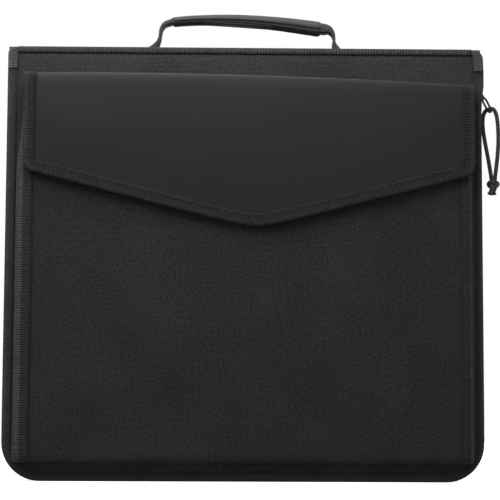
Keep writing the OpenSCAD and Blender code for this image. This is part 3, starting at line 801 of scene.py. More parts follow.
def cover_fabric(body, y, into):
    """Outer fabric of a cover, softly crowned and a little wavy."""
    half_at = rounded_half(skin_half, skin_low, BOTTOM_R - (half_w - skin_half))

    def y_at(x, z):
        share = slack(x, z, 4)
        wave = BACK_WAVE * ripple(x, z, 0.045, 3.0 * into) if body == "back" else 0
        return y - into * (CROWN[body] * share + max(share, 0) * wave)

    rows, cloth = panel_rows(half_at, levels(skin_low, BOTTOM_R, skin_top), COLUMNS, y_at)
    piece = sheet(f"{body}_cover_fabric", rows, cloth, skin_t, COVER, flip=into < 0)
    return place(piece, body, "fabric", f"{body}_panel")


def cover_lining(body, y, into):
    """Lining of a cover, pulled flat at its edges and slack between them."""
    r = BOTTOM_R - (half_w - lining_half)
    half_at = rounded_half(lining_half, lining_low, r)
    inside = abs(inside_y - front_y)

    def y_at(x, z):
        loose = LINING_SLACK * max(slack(x, z, 6), 0)
        return y + into * (inside + loose * ripple(x, z, 0.035, 7.0 + into))

    rows, cloth = panel_rows(half_at, levels(lining_low, r, skin_top - 0.4 * MM), COLUMNS, y_at)
    piece = sheet(f"{body}_inside_lining", rows, cloth, LINING_T, LINING, flip=into > 0)
    return place(piece, body, "lining", f"{body}_lining")


def cover_gusset(body, y, depth):
    """Side wall of a tray, bowed a little outwards, with the lip that the edge tape holds."""
    wall = half_w - zip_tape_half - GUSSET_T / 2 - 0.1 * MM
    line = [(-1.2 * MM, GUSSET_BOW[0][1] * MM)]
    line += [(out * MM - wall, deep * MM) for out, deep in GUSSET_BOW]
    line.append((-wall, gusset_end - 0.6 * MM))
    rings = carried(case_edge(wall_top, y, depth), ribbon(line, GUSSET_T))
    return place(loft(f"{body}_side_wall", rings, FABRIC), body, "fabric", f"{body}_gusset")


def leaned(stations):
    """Edge stations whose tape leans back along the bottom and, on the front's right side, stands
    out a little below the top corner."""
    found = []
    for point, outward, depth, cut in stations:
        lean = EDGE_LEAN * max(-outward.z, 0)
        if depth.y > 0 and outward.x == 1:
            top_end = 1 - ease(point.z, case_top - BULGE_ENDS, case_top)
            bulge = ease(point.z, *RIGHT_WIDENS) * top_end
            point = point + RIGHT * (RIGHT_BULGE * bulge)
        c, s = math.cos(lean), math.sin(lean)
        point = point + depth * (EDGE_TAPE_W * s)
        found.append((point, outward * c + depth * s, depth * c - outward * s, cut))
    return found


def cover_edge_tape(body, y, depth):
    """Ribbed tape folded round the cover's sides and bottom."""
    def section_at(cut):
        return folded(EDGE_TAPE_W - cut, EDGE_NEAR, EDGE_FAR, EDGE_LIP)
    rings = carried(leaned(case_edge(case_top - EDGE_END, y, depth)), section_at)
    piece = loft(f"{body}_edge_tape", rings, EDGE_TAPE, True)
    return place(piece, body, "edge_tape", f"{body}_binding")


def cover_corner_tapes(body, y, depth):
    """Short tapes folded over the upper ends of the edge tape, in a lighter copy of its cloth that
    paints the highlight at the case's top corners.
    """
    def section_at(cut):
        width = EDGE_TAPE_W + 0.3 * MM - cut
        return folded(width, EDGE_NEAR - CORNER_OVER, EDGE_FAR + 0.2 * MM, EDGE_LIP)
    stations = leaned(case_edge(case_top - CORNER_END, y, depth))
    for side, sign in SIDES:
        upper = [s for s in stations if s[1].x == sign and s[0].z > case_top - CORNER_TAPE_L]
        upper.sort(key=lambda s: s[0].z)
        upper.insert(1, (upper[0][0] + UP * CORNER_CAP, *upper[0][1:]))
        piece = loft(f"{body}_{side}_corner_tape", carried(upper, section_at), CORNER_TAPE_PAINTED_HIGHLIGHT, True)
        place(piece, body, "edge_tape")


def cover_top_tape(body, y, depth):
    """Ribbed tape folded over the cover's top edge, between the side tapes."""
    reach = half_w - EDGE_TAPE_W - 0.2 * MM
    section = folded(TOP_SHOWS_W, EDGE_NEAR, TOP_FAR, 1.2 * MM)
    rings = carried(straight(reach, y, case_top, depth, 60), section)
    piece = loft(f"{body}_top_tape", rings, TOP_TAPE, True)
    return place(piece, body, "edge_tape", f"{body}_top_binding")


def cover_zip_tape(body, y, depth):
    """Zip tape behind the gusset's edge."""
    ends = sorted(abs(c.y - y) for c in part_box(f"{body}_zip_tape"))
    inset = half_w - zip_tape_half + ZIP_TAPE_T / 2
    section = ribbon([(-inset, s) for s in spread(*ends, 4)], ZIP_TAPE_T)
    rings = carried(case_edge(wall_top, y, depth), section)
    return place(loft(f"{body}_zip_cloth", rings, ZIP_TAPE), body, "zip_tape", f"{body}_zip_tape")


def cover_stitches(body, y, depth):
    """Stitch rows on the edge tape, the top tape and along the gusset's edge."""
    above = EDGE_NEAR - TAPE_T / 2 - 0.05 * MM
    edge = [(p - n * (EDGE_TAPE_W - SEAM_IN - cut) + d * above, -d)
            for p, n, d, cut in leaned(case_edge(case_top - CORNER_TAPE_L, y, depth))]
    reach = half_w - EDGE_TAPE_W - 2 * MM
    top = [(p + d * above, -d)
           for p, n, d, cut in straight(reach, y, case_top - TOP_SHOWS_W + TOP_SEAM_IN, depth, 60)]
    wall = half_w - zip_tape_half - GUSSET_T + 0.3 * MM
    seam = [(p - n * wall + d * (gusset_end - GUSSET_SEAM_IN), n)
            for p, n, d, cut in case_edge(wall_top, y, depth)]
    piece = sewn(f"{body}_cover_stitches", [edge, top, seam])
    return place(piece, body, "edge_tape")


def cover(body, y, into):
    """Everything sewn into one tray."""
    depth = BACK * into
    cover_fabric(body, y, into)
    cover_lining(body, y, into)
    for part in (cover_gusset, cover_edge_tape, cover_corner_tapes, cover_top_tape,
                 cover_zip_tape, cover_stitches):
        part(body, y, depth)


cover("front", front_y, 1)
cover("back", back_y, -1)

# Document sleeve inside the back cover

SLEEVE_EDGE = 3 * MM
SLEEVE_WAVE = 0.5 * MM
SLEEVE_SUNK = 0.4 * MM
SLEEVE_MOUTH_SEAM_IN = 4.5 * MM
SLEEVE_SIDE_SEAM_IN = 1.2 * MM


def low_round(z, bottom, r):
    """Share of a pocket's depth at a height: round at its lower edge, then full."""
    lift = 1 - min(max((z - bottom) / r, 0), 1)
    return math.sqrt(1 - lift * lift)


def pocket_row(half_at, base_y, out, rise, z, low_z, bulge, round_x, round_z, columns):
    """One row of a pocket's face: up round its left edge, across, and down round its right edge."""
    bottom_rise = low_round(z, low_z, round_z)
    inner = half_at(z) - round_x
    left = [(-(inner + round_x * c), s) for c, s in map(turned, spread(0, 90, 6))]
    flat = [(t * inner, 1) for t in columns[1:-1]]
    right = [(-x, s) for x, s in reversed(left)]
    points = []
    for x, share in left + flat + right:
        depth = bottom_rise * (share * rise + bulge(x, z) * share)
        points.append(Vector((x, base_y + out * depth, z)))
    return points


def row_cloth(rows):
    """Cloth lengths across and up rows of points."""
    cloth = []
    for row in rows:
        across = lengths_along(row)
        cloth.append([(a - across[-1] / 2, p.z) for a, p in zip(across, row)])
    return cloth


def mouth_tape(name, body, node, reach, y, z, apart):
    """Tape folded over a pocket's mouth, its two layers some way to either side of the cloth."""
    section = folded(MOUTH_TAPE_W, -apart, apart, MOUTH_LIP)
    tape = loft(name, carried(straight(reach, y, z, -BACK, 50), section), EDGE_TAPE, True)
    place(tape, body, "edge_tape", node)


def sleeve():
    """Sleeve of lining cloth with a bound mouth."""
    half = high("inner_sleeve").x
    bottom, mouth = low("inner_sleeve").z, high("inner_sleeve").z
    base = high("inner_sleeve").y
    rise = base - low("inner_sleeve").y

    def bulge(x, z):
        return SLEEVE_WAVE * ripple(x, z, 0.05, 21.0) - SLEEVE_SUNK

    half_at = rounded_half(half, bottom, SLEEVE_EDGE)
    rows = [pocket_row(half_at, base, -1, rise, z, bottom, bulge, SLEEVE_EDGE, SLEEVE_EDGE, COLUMNS)
            for z in levels(bottom, SLEEVE_EDGE, mouth, 6, 24)]
    piece = sheet("document_sleeve", rows, row_cloth(rows), LINING_T, LINING)
    place(piece, "back", "lining", "inner_sleeve")
    reach = half - SLEEVE_EDGE
    face = base - rise
    mouth_tape("sleeve_mouth_tape", "back", "inner_sleeve_binding", reach, face + SLEEVE_SUNK,
               mouth + TAPE_T, 0.9 * MM)
    seam_z = mouth - SLEEVE_MOUTH_SEAM_IN
    seams = [[(s[0], -BACK) for s in straight(reach - 2 * MM, face - 0.95 * MM, seam_z, -BACK, 40)]]
    for sign in (-1, 1):
        x, y = sign * (half - SLEEVE_SIDE_SEAM_IN), base - 2 * MM
        out = Vector((sign, -0.4, 0)).normalized()
        seams.append([(Vector((x, y, z)), out) for z in spread(bottom + 6 * MM, mouth - 3 * MM, 30)])
    place(sewn("sleeve_stitches", seams), "back", "lining")


sleeve()

# Front pocket

POCKET_T = 1.1 * MM
POCKET_WRAP_T = 0.7 * MM
POCKET_R = 3.2 * MM
POCKET_TUCK = 4 * MM
POCKET_TUCK_Z = 214 * MM
POCKET_ROUND = 5 * MM
POCKET_ROUND_LOW = 1.8 * MM
POCKET_TAPE_LEFT = 12 * MM
POCKET_TAPE_RIGHT = 9.5 * MM
POCKET_SEAM_IN = 1.4 * MM
POCKET_SEAM_OUT = 0.75 * MM
# Where the flap starts to press the pocket flat, and over what height it does so
FLAP_CLEAR_Z = 146 * MM
FLAP_HANG = 56 * MM
POCKET_SWELL = 1.5 * MM
POCKET_SWELL_H = 200 * MM
POCKET_FLAT_W = 45 * MM
POCKET_PRESSED = 0.6 * MM
POCKET_WAVES = ((1.1 * MM, 0.07, 2.5), (0.4 * MM, 0.03, 5.5))


def pocket_bulge(x, z):
    """Fullness of the pocket: slack swells below the flap, flat beneath it and at the edges."""
    free = 1 - ease(z, FLAP_CLEAR_Z - 0.1 * abs(x), FLAP_CLEAR_Z + FLAP_HANG)
    edge = ease(pocket_half - abs(x), POCKET_ROUND, POCKET_FLAT_W)
    up = math.sin(math.pi * min(z / POCKET_SWELL_H, 1))
    swell = POCKET_SWELL * math.cos(math.pi * x / (2 * pocket_half)) * up
    waves = sum(high_by * ripple(x, z, size, seed) for high_by, size, seed in POCKET_WAVES)
    return edge * (free * (swell + waves) - (1 - free) * POCKET_PRESSED)


def pocket_half_at(z):
    """Half width of the pocket at a height: drawn in towards its mouth, behind the flap."""
    tuck = POCKET_TUCK * ease(z, POCKET_TUCK_Z, pocket_mouth)
    return rounded_half(pocket_half, pocket_low, POCKET_R)(z) - tuck


def pocket_points(z, columns):
    """One row of the front pocket's face."""
    return pocket_row(pocket_half_at, front_y, -1, pocket_rise, z, pocket_low, pocket_bulge,
                      POCKET_ROUND, POCKET_ROUND_LOW, columns)


def pocket():
    """The pocket's woven face, its tapes and its seams."""
    heights = levels(pocket_low, POCKET_ROUND_LOW, pocket_mouth, 6, 48)
    rows = [pocket_points(z, spread(-1, 1, 56)) for z in heights]
    face = sheet("pocket_face", rows, row_cloth(rows), POCKET_T, FABRIC)
    place(face, "front", "fabric", "pocket_panel")
    seams = [pocket_side_tape("left", -1, POCKET_TAPE_LEFT, heights[2:]),
             pocket_side_tape("right", 1, POCKET_TAPE_RIGHT, heights[2:])]
    hem = high("pocket_mouth_binding")
    mouth_tape("pocket_mouth_tape", "front", "pocket_mouth_binding", hem.x - POCKET_TUCK,
               front_y - pocket_rise + 0.6 * MM, hem.z, 0.95 * MM)
    place(sewn("pocket_stitches", seams), "front", "edge_tape")


def pocket_side_tape(side, sign, width, heights):
    """Ribbed tape that wraps a side edge of the pocket. Gives the line of its seam."""
    rows, seam = [], []
    for z in heights:
        half_z = pocket_half_at(z)
        rise = pocket_rise * low_round(z, pocket_low, POCKET_ROUND_LOW)
        row = []
        for c, s in map(turned, spread(8, 90, 7)):
            out = Vector((c / POCKET_ROUND, -s / pocket_rise)).normalized() * POCKET_WRAP_T
            x = half_z - POCKET_ROUND + POCKET_ROUND * c
            row.append(Vector((sign * (x + out.x), front_y - rise * s + out.y, z)))
        for x in spread(half_z - POCKET_ROUND, half_z - width, 4)[1:]:
            y = front_y - rise - pocket_bulge(x, z) - POCKET_WRAP_T
            row.append(Vector((sign * x, y, z)))
        rows.append(row)
        seam_x = half_z - width + POCKET_SEAM_IN
        seam.append((Vector((sign * seam_x, front_y - rise - POCKET_SEAM_OUT, z)), -BACK))
    cloth = [[(v, line[-1][0] - u) for u, v in line] for line in row_cloth(rows)]
    tape = sheet(f"pocket_{side}_tape", rows, cloth, POCKET_WRAP_T, POCKET_TAPE, flip=sign > 0)
    place(tape, "front", "edge_tape", "pocket_bindings")
    return seam


pocket()

# Flap

FLAP_SIDE_Z = 219.5 * MM
FLAP_POINT = (8 * MM, 178 * MM)
FLAP_POINT_SOFT = 11 * MM
FLAP_LOW_TILT = 0.006
FLAP_CORNER_R = 10 * MM
FLAP_TAPE_W = 8.6 * MM
FLAP_SKIN_T = 1.0 * MM
FLAP_SEWN = 8 * MM
FLAP_PUFF = 0.5 * MM
FLAP_PUFF_W = 34 * MM
SEAM_LOWERED = 1.5 * MM
SEAM_TILT = 0.0219
SEAM_BOW = 0.1175
FLAP_LINING_T = 0.5 * MM
# How far inside its taped edges the flap's cloth ends, at the sides and below
FLAP_IN_TAPE = 1.2 * MM
FLAP_LOW_IN_TAPE = 1.6 * MM
FLAP_FOLD_R = 1.2 * MM
# The roll's front in millimetres: how far behind the flap's face, and how far below the roll's top
ROLL_FRONT = [(4.2, 0.02), (3.1, 0.1), (2.4, 0.3), (1.9, 0.65), (1.62, 1.2), (1.4, 2), (1.2, 3),
              (0.98, 4.4), (0.8, 5.9), (0.6, 8), (0.44, 10.5), (0.18, 16), (0.05, 22), (0, 28)]
ROLL_TAPE_FRONT = [(2.6, 0.12), (1.6, 0.55), (0.8, 1.4), (0.3, 2.8), (0.08, 5), (0, 9)]


def seam_drop(x):
    """The flap is sewn on a little askew: its fold sinks towards the right, and at both ends."""
    return SEAM_LOWERED - SEAM_TILT * x - SEAM_BOW * x * x


def flap_vee(x):
    """Height of the flap's V without its corners, with a soft point."""
    point_x, point_z = FLAP_POINT
    fall = (FLAP_SIDE_Z - point_z) / (point_x - flap_left)
    rise = (FLAP_SIDE_Z - point_z) / (flap_right - point_x)
    off = x - point_x
    soft = math.hypot(off, FLAP_POINT_SOFT) - FLAP_POINT_SOFT * 0.5
    return point_z + (rise - fall) / 2 * off + (rise + fall) / 2 * soft - FLAP_LOW_TILT * x


def flap_corner(sign):
    """Middle of the round corner at one side, and the slope of the V beside it."""
    x = flap_middle + sign * (flap_half - FLAP_CORNER_R)
    slope = (flap_vee(x + MM) - flap_vee(x - MM)) / (2 * MM)
    return x, flap_vee(x) + FLAP_CORNER_R * math.hypot(1, slope), slope


def flap_edge_z(x):
    """Height of the flap's lower edge: the V with its round corners."""
    sign = -1 if x < flap_middle else 1
    corner_x, corner_z, slope = flap_corner(sign)
    touch = corner_x + FLAP_CORNER_R * slope / math.hypot(1, slope)
    if (x - touch) * sign <= 0:
        return flap_vee(x)
    return corner_z - math.sqrt(max(FLAP_CORNER_R ** 2 - (x - corner_x) ** 2, 0))


def flap_columns(inset=0.0):
    """Places across the flap, close together at its round corners."""
    inner = flap_half - FLAP_CORNER_R
    turn = math.degrees(math.asin((FLAP_CORNER_R - inset) / FLAP_CORNER_R)) if inset else 88
    corner = [inner + FLAP_CORNER_R * math.sin(math.radians(a)) for a in spread(8, turn, 10)]
    across = [-x for x in reversed(corner)] + spread(-inner, inner, 48) + corner
    return [flap_middle + x for x in across]


def flap_fall(x, top, share):
    """Height at a share of the way down the flap, from a top that sinks with the seam to the end
    of the cloth in the lower tape."""
    top += seam_drop(x)
    return top + (flap_edge_z(x) + FLAP_LOW_IN_TAPE - top) * share


def flap_puff(x, z):
    """How far the flap's face stands out between its tapes."""
    side = flap_half - abs(x - flap_middle)
    inside = min(side, z - flap_edge_z(x), flap_axis_z - z)
    soft = ease(inside, FLAP_TAPE_W * 0.7, FLAP_PUFF_W)
    return soft * FLAP_PUFF * (1 + ripple(x, z, 0.08, 11.0))


def roll_outline(r, face_y, start, front):
    """Outline of the roll as (y, z): up its sewn side, over its top and down its front."""
    behind = arc((front_y - roll_r, flap_axis_z), r, start, 90, 8)
    top = flap_axis_z + r
    start_at = ((front_y - roll_r - face_y) / MM, 0)
    ahead = smooth_path([start_at, *front], 3)
    return behind + [(face_y + back * MM, top - fall * MM) for back, fall in ahead[1:]]


def hung(piece, slot, *nodes):
    """A piece that is sewn to the front, left on no body with its transform baked in."""
    place(piece, None, slot, *nodes)
    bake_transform(piece)


def flap_skin():
    """The flap's outer layer: sewn to the cover, rolled over and hanging down the front."""
    xs = flap_columns(FLAP_IN_TAPE)
    roll = roll_outline(roll_r, flap_face_y, 8, ROLL_FRONT)
    crest = roll[-1][1]
    root_y = front_y - 0.9 * MM
    profile = [(root_y, flap_axis_z - FLAP_SEWN), (root_y, flap_axis_z - FLAP_SEWN / 2), *roll]
    rows = []
    for y, z in profile:
        row = []
        for x in xs:
            lower = z + seam_drop(x)
            puff = 0 if y > front_y - roll_r else flap_puff(x, lower)
            row.append(Vector((x, y - puff, lower)))
        rows.append(row)
    for share in spread(0, 1, 28)[1:]:
        row = []
        for x in xs:
            z = flap_fall(x, crest, share)
            row.append(Vector((x, flap_face_y - flap_puff(x, z), z)))
        rows.append(row)
    lengths = lengths_along([row[len(xs) // 2] for row in rows])
    cloth = [[(p.x, -length) for p in row] for row, length in zip(rows, lengths)]
    piece = sheet("flap_skin", rows, cloth, FLAP_SKIN_T, FLAP_SKIN, flip=True)
    hung(piece, "leatherette", "flap_root", "flap_panel")
    rolled = FLAP_SEWN + lengths_along([Vector(p) for p in roll])[-1] + crest
    area = 2 * flap_half * (rolled - (FLAP_SIDE_Z + FLAP_POINT[1]) / 2)
    flat = (2 * flap_half, rolled - FLAP_POINT[1])


def flap_lining():
    """Lining on the flap's inner side."""
    y = high("flap_lining").y
    top = flap_axis_z - 0.6 * MM
    rows = [[Vector((x, y, flap_fall(x, top, share))) for x in flap_columns(FLAP_IN_TAPE)]
            for share in spread(0, 1, 20)]
    cloth = [[(p.x, p.z) for p in row] for row in rows]
    piece = sheet("flap_inner_lining", rows, cloth, FLAP_LINING_T, LINING)
    place(piece, "flap", "lining", "flap_lining")


def flap_side_stations(sign):
    """Stations of the flap's tape from its sewn end, over the roll and down one side."""
    x = flap_middle + sign * flap_half
    drop = seam_drop(x)
    outline = roll_outline(roll_r + flap_face_y - flap_mid_y, flap_mid_y, 10, ROLL_TAPE_FRONT)
    line = [Vector(p) for p in outline]
    stations = []
    for i, (y, z) in enumerate(outline):
        run = run_at(line, i)
        way = Vector((0, run.y, -run.x)).normalized()
        stations.append((Vector((x, y, z + drop)), RIGHT * sign, way, 0))
    corner_z = flap_corner(sign)[1]
    for z in spread(outline[-1][1] + drop, corner_z + 0.5 * MM, 12)[1:]:
        stations.append((Vector((x, flap_mid_y, z)), RIGHT * sign, -BACK, 0))
    return stations


def flap_low_stations():
    """Stations along the flap's lower edge, from left to right."""
    line = [Vector((x, flap_mid_y, flap_edge_z(x))) for x in flap_columns()]
    found = []
    for i, p in enumerate(line):
        found.append((p, BACK.cross(run_at(line, i)).normalized(), -BACK, 0))
    return found


def flap_tape_section():
    """Section of the flap's tape: two faces and a full round fold between them."""
    r = FLAP_FOLD_R
    fold = (-r - TAPE_T / 2, 0)
    shares = ((1.0, -0.15), (0.8, 0.0), (0.62, -0.05), (0.5, 0.2), (0.35, 0.3))
    front = [(-share * FLAP_TAPE_W, r + lift * MM) for share, lift in shares]
    behind = [(-0.5 * FLAP_TAPE_W, -r), (-FLAP_TAPE_W, -r)]
    return ribbon(front + arc(fold, r, 90, -90, 8) + behind, TAPE_T)


def flap_tape():
    """One length of ribbed tape round the flap's free edges and over the ends of its roll."""
    stations = flap_side_stations(-1) + flap_low_stations() + flap_side_stations(1)[::-1]
    piece = loft("flap_edge_tape", carried(stations, flap_tape_section()), FLAP_TAPE)
    hung(piece, "edge_tape", "flap_binding")
    lift = FLAP_FOLD_R + TAPE_T / 2
    row = [(p - n * (FLAP_TAPE_W - SEAM_IN) + d * lift, d) for p, n, d, cut in stations]
    hung(sewn("flap_stitches", [row]), "edge_tape")


PATCH_W = 45 * MM
PATCH_R = 2.5 * MM
PATCH_SEAM = (0.93, 0.86)
# Rings of a patch from its back to its middle: size, and depth as a share of its thickness
PATCH_RINGS = ((1, 1), (1, 0.25), (0.985, 0.05), (0.97, 0), (0.5, 0), (0.05, 0))


def touch_patch(name, node, body, finish, facing):
    """A pair of touch-fastener patches with round corners, sewn round their edges."""
    lo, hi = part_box(node)
    y = lo.y if facing < 0 else hi.y
    thick = hi.y - lo.y
    rows = []
    for side, left in (("left", lo.x), ("right", hi.x - PATCH_W)):
        right = left + PATCH_W
        corners = ((right - PATCH_R, hi.z - PATCH_R), (left + PATCH_R, hi.z - PATCH_R),
                   (left + PATCH_R, lo.z + PATCH_R), (right - PATCH_R, lo.z + PATCH_R))
        outline = [p for i, c in enumerate(corners) for p in arc(c, PATCH_R, 90 * i, 90 * i + 90, 5)]
        mid_x, mid_z = left + PATCH_W / 2, (lo.z + hi.z) / 2

        def ring(wide, tall, out):
            return [Vector((mid_x + (x - mid_x) * wide, y + facing * out, mid_z + (z - mid_z) * tall))
                    for x, z in outline]

        piece = loft(f"{name}_{side}", [ring(k, k, -d * thick) for k, d in PATCH_RINGS], finish)
        place(piece, body, "touch_fastener", node)
        seam = ring(*PATCH_SEAM, 0.1 * MM)
        rows.append([(p, BACK * facing) for p in [*seam, seam[0]]])
    place(sewn(f"{name}_stitches", rows), body, "touch_fastener")


flap_skin()
flap_lining()
flap_tape()
touch_patch("loop_patch", "pocket_loop_patches", "front", LOOPS, -1)
touch_patch("hook_patch", "flap_hook_patches", "flap", HOOKS, 1)

# Spine

FOLD_T = 0.5 * MM
# Section of a fold strip in millimetres: towards its cover, and above the spine's lining
FOLD_PLEAT = [(-0.9, 0.3), (-0.5, -1.0), (-0.1, -1.8), (0.3, -1.9), (0.7, -1.2), (1.0, 1.2)]
SPINE_LIP = 0.15 * MM
SPINE_TURNS_DOWN = (3.2 * MM, 0.9 * MM)
SPINE_CROWN = 0.3 * MM
SPINE_WAVE = 0.25 * MM
END_TAPE_OVER = 0.8 * MM


def spine():
    """The spine's fabric, lining, end tapes and the folds that join it to the covers."""
    ends = high("spine_panel").x
    ys = spread(spine_front_y, spine_back_y, 12)
    xs = spread(-ends, ends, 60)

    def z_at(x, y):
        share = 1 - ((y - zip_y) / (spine_back_y - zip_y)) ** 4
        return spine_z + share * (SPINE_CROWN + SPINE_WAVE * ripple(x, y, 0.04, 31.0))

    def lip(y, out):
        """Two rows of the edge that is turned down over the board."""
        return [[Vector((x, y + out * SPINE_LIP, spine_z - fall)) for x in xs]
                for fall in SPINE_TURNS_DOWN]

    rows = [[Vector((x, y, z_at(x, y))) for x in xs] for y in ys]
    rows = lip(spine_front_y, -1) + rows + lip(spine_back_y, 1)[::-1]
    cloth = [[(p.x, p.y + p.z - spine_z) for p in row] for row in rows]
    top = sheet("spine_fabric", rows, cloth, skin_t, COVER)
    place(top, "spine", "fabric", "spine_panel")
    reach = high("spine_lining").x
    z = low("spine_lining").z
    rows = [[Vector((x, y, z + 0.1 * MM * ripple(x, y, 0.03, 41.0)))
             for x in spread(-reach, reach, 60)] for y in ys]
    cloth = [[(p.x, p.y) for p in row] for row in rows]
    under = sheet("spine_inside_lining", rows, cloth, LINING_T, LINING, flip=True)
    place(under, "spine", "lining", "spine_lining")
    spine_end_tapes()
    fold_strip("front", spine_front_y, -1)
    fold_strip("back", spine_back_y, 1)


def spine_end_tapes():
    """Tape over both ends of the spine, round the top corners."""
    middle = (half_w - TOP_R, case_top - TOP_R)
    top = case_top - TAPE_T / 2
    line = [(half_w - EDGE_TAPE_W, top), (half_w - TOP_R - 0.3 * MM, top)]
    line += arc(middle, TOP_R - TAPE_T / 2, 90, 0, 8)
    line.append((half_w - TAPE_T / 2, low("spine_end_bindings").z + 0.3 * MM))
    section = ribbon(line, TAPE_T)
    ys = spread(spine_front_y - END_TAPE_OVER, spine_back_y + END_TAPE_OVER, 12)
    for side, sign in SIDES:
        rings = [[Vector((sign * a, y, b)) for a, b in section] for y in ys]
        piece = loft(f"spine_{side}_end_tape", rings, EDGE_TAPE)
        place(piece, "spine", "edge_tape", "spine_end_bindings")


def fold_strip(body, y, out):
    """Pleat of lining that joins the spine to a cover and opens out when the cover folds back."""
    reach = high("spine_panel").x
    z = low("spine_lining").z
    section = ribbon([(y + out * a * MM, z + b * MM) for a, b in FOLD_PLEAT], FOLD_T)
    rings = [[Vector((x, a, b)) for a, b in section] for x in spread(-reach, reach, 40)]
    piece = place(loft(f"{body}_fold_strip", rings, LINING), None, "lining")
    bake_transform(piece)


spine()

# Handle

STRAP_T = 2.4 * MM
STRAP_W = 10 * MM
STRAP_FLATTENS = 0.45
# The boxed cross on a strap end: in from the sides, the inner end and the outer end
STRAP_SEAM_IN = 1.8 * MM
STRAP_SEAM_FROM = 10.5 * MM
STRAP_SEAM_TO = 1.6 * MM
foot_z = low("handle_strap").z + STRAP_T / 2

# Strap from inside the grip to each foot, in millimetres: x, height above the foot, thickness
STRAP_LEFT = [
    (-44, 23.6, 3.4), (-52, 22.6, 3.9), (-55.5, 21.8, 4.0), (-59, 20.1, 3.7), (-61.2, 16.4, 3.0),
    (-61.9, 12, 2.6), (-62.8, 8.2, 3.2), (-64.8, 4.9, 4.2), (-68.6, 2.3, 3.6), (-73, 0.6, 2.4)
]
STRAP_RIGHT = [
    (46, 19.4, 6.4), (54, 18.4, 7.6), (58.5, 18.0, 7.4), (61.8, 17.2, 5.6), (64.4, 14.4, 3.2),
    (65.4, 10.6, 1.9), (65.3, 7.6, 2.6), (66.2, 4.6, 4.2), (69, 2.0, 3.4), (73, 0.6, 2.4)
]
# Grip, in millimetres: x, middle above the foot, height, depth
GRIP_SHAPE = [
    (-52.5, 22.5, 7.0, 10.6), (-44, 23.4, 7.2, 11.4), (-31, 24.1, 7.5, 12.0), (-12, 24.2, 8.3, 12.6),
    (5, 23.5, 9.0, 13.0), (24, 21.9, 9.9, 13.0), (41, 19.9, 10.7, 12.8), (55.5, 17.9, 11.0, 12.2)
]
GRIP_SEAM = math.radians(196)
GRIP_SIDES = 64
# Groove of the grip's seam: depth as a share of the radius, and half its width in radians
GROOVE_DEEP = 0.11
GROOVE_HALF = 0.11
WRINKLE = 0.012


def flat_oval(wide, thick, steps=20, power=0.55):
    """Section of a flat strap or a padded grip with round edges."""
    def squared(value, size):
        return math.copysign(abs(value) ** power, value) * size / 2
    return [(squared(math.cos(a), wide), squared(math.sin(a), thick)) for a in circle(steps)]


def handle_strap():
    """Webbing loop through the grip, with feet that run out along the spine."""
    route = smooth_path([*reversed(STRAP_LEFT), *STRAP_RIGHT], 6)
    rings = []
    for i, (x, rise, thick) in enumerate(route):
        run = run_at(route, i)
        out = Vector((-run.y, 0, run.x)).normalized()
        middle = Vector((x * MM, zip_y, foot_z + rise * MM))
        section = flat_oval(STRAP_W, thick * MM, power=0.45)
        rings.append([middle + BACK * a + out * b for a, b in section])
    piece = place(loft("handle_webbing", rings, WEBBING), None, "webbing", "handle_strap")
    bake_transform(piece)


def grip_section(tall, wide, angle, size):
    """A point of the grip's section, as depth and height in millimetres."""
    c, s = math.cos(angle), math.sin(angle)
    return c * wide / 2 * size, s * tall / 2 * size


def handle_grip():
    """Wrapped grip, slimmer at its left end, with its closing seam low on the front."""
    rings, seam = [], []
    seam_out = Vector((0, math.cos(GRIP_SEAM), math.sin(GRIP_SEAM)))
    shape = smooth_path(GRIP_SHAPE, 10)
    for i, (x, rise, tall, wide) in enumerate(shape):
        run = run_at(shape, i)
        up = Vector((-run[1], 0, run[0])).normalized()
        middle = Vector((x * MM, zip_y, foot_z + rise * MM))
        end = min(1, 0.86 + 0.07 * min(i, len(shape) - 1 - i))
        ring = []
        for a in circle(GRIP_SIDES):
            groove = 1 - GROOVE_DEEP * math.exp(-((a - GRIP_SEAM) / GROOVE_HALF) ** 2)
            wrinkle = 1 + WRINKLE * noise.noise(Vector((x / 6, a * 2, 3)))
            y, z = grip_section(tall, wide, a, end * groove * wrinkle)
            ring.append(middle + (BACK * y + up * z) * MM)
        rings.append(ring)
        if 4 < i < len(shape) - 5:
            y, z = grip_section(tall, wide, GRIP_SEAM, 0.95)
            seam.append((middle + (BACK * y + up * z) * MM, seam_out))
    grip = loft("handle_grip_wrap", rings, GRIP_SKIN)
    place(grip, "handle", "leatherette", "handle_grip")
    place(sewn("grip_stitches", [seam], stitch=2.6 * MM), "handle", "leatherette")


def strap_end(side, sign):
    """End of the strap, spread flat and sewn to the spine with a boxed cross."""
    lo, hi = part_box(f"{side}_strap_end")
    inner, outer = (lo.x, hi.x) if sign > 0 else (hi.x, lo.x)
    rings = []
    for share in spread(0, 1, 16):
        wide = STRAP_W + (hi.y - lo.y - STRAP_W) * ease(share, 0.0, 0.35)
        thick = STRAP_T * (1 - STRAP_FLATTENS * ease(share, 0.0, 0.5))
        x = inner + (outer - inner) * share
        rings.append([Vector((x, zip_y + a, lo.z + thick / 2 + b))
                      for a, b in flat_oval(wide, thick, 24, 0.4)])
    piece = loft(f"{side}_strap_foot", rings, WEBBING)
    place(piece, "spine", "webbing", f"{side}_strap_end")
    x0, x1 = inner + sign * STRAP_SEAM_FROM, outer - sign * STRAP_SEAM_TO
    y0, y1 = lo.y + STRAP_SEAM_IN, hi.y - STRAP_SEAM_IN
    z = lo.z + STRAP_T * (1 - STRAP_FLATTENS) + 0.15 * MM
    corners = [(x0, y0), (x1, y0), (x1, y1), (x0, y1), (x0, y0), (x1, y1), (x1, y0), (x0, y1)]
    row = [(Vector((x, y, z)), UP) for x, y in corners]
    place(sewn(f"{side}_strap_stitches", [row], stitch=2.4 * MM), "spine", "webbing")


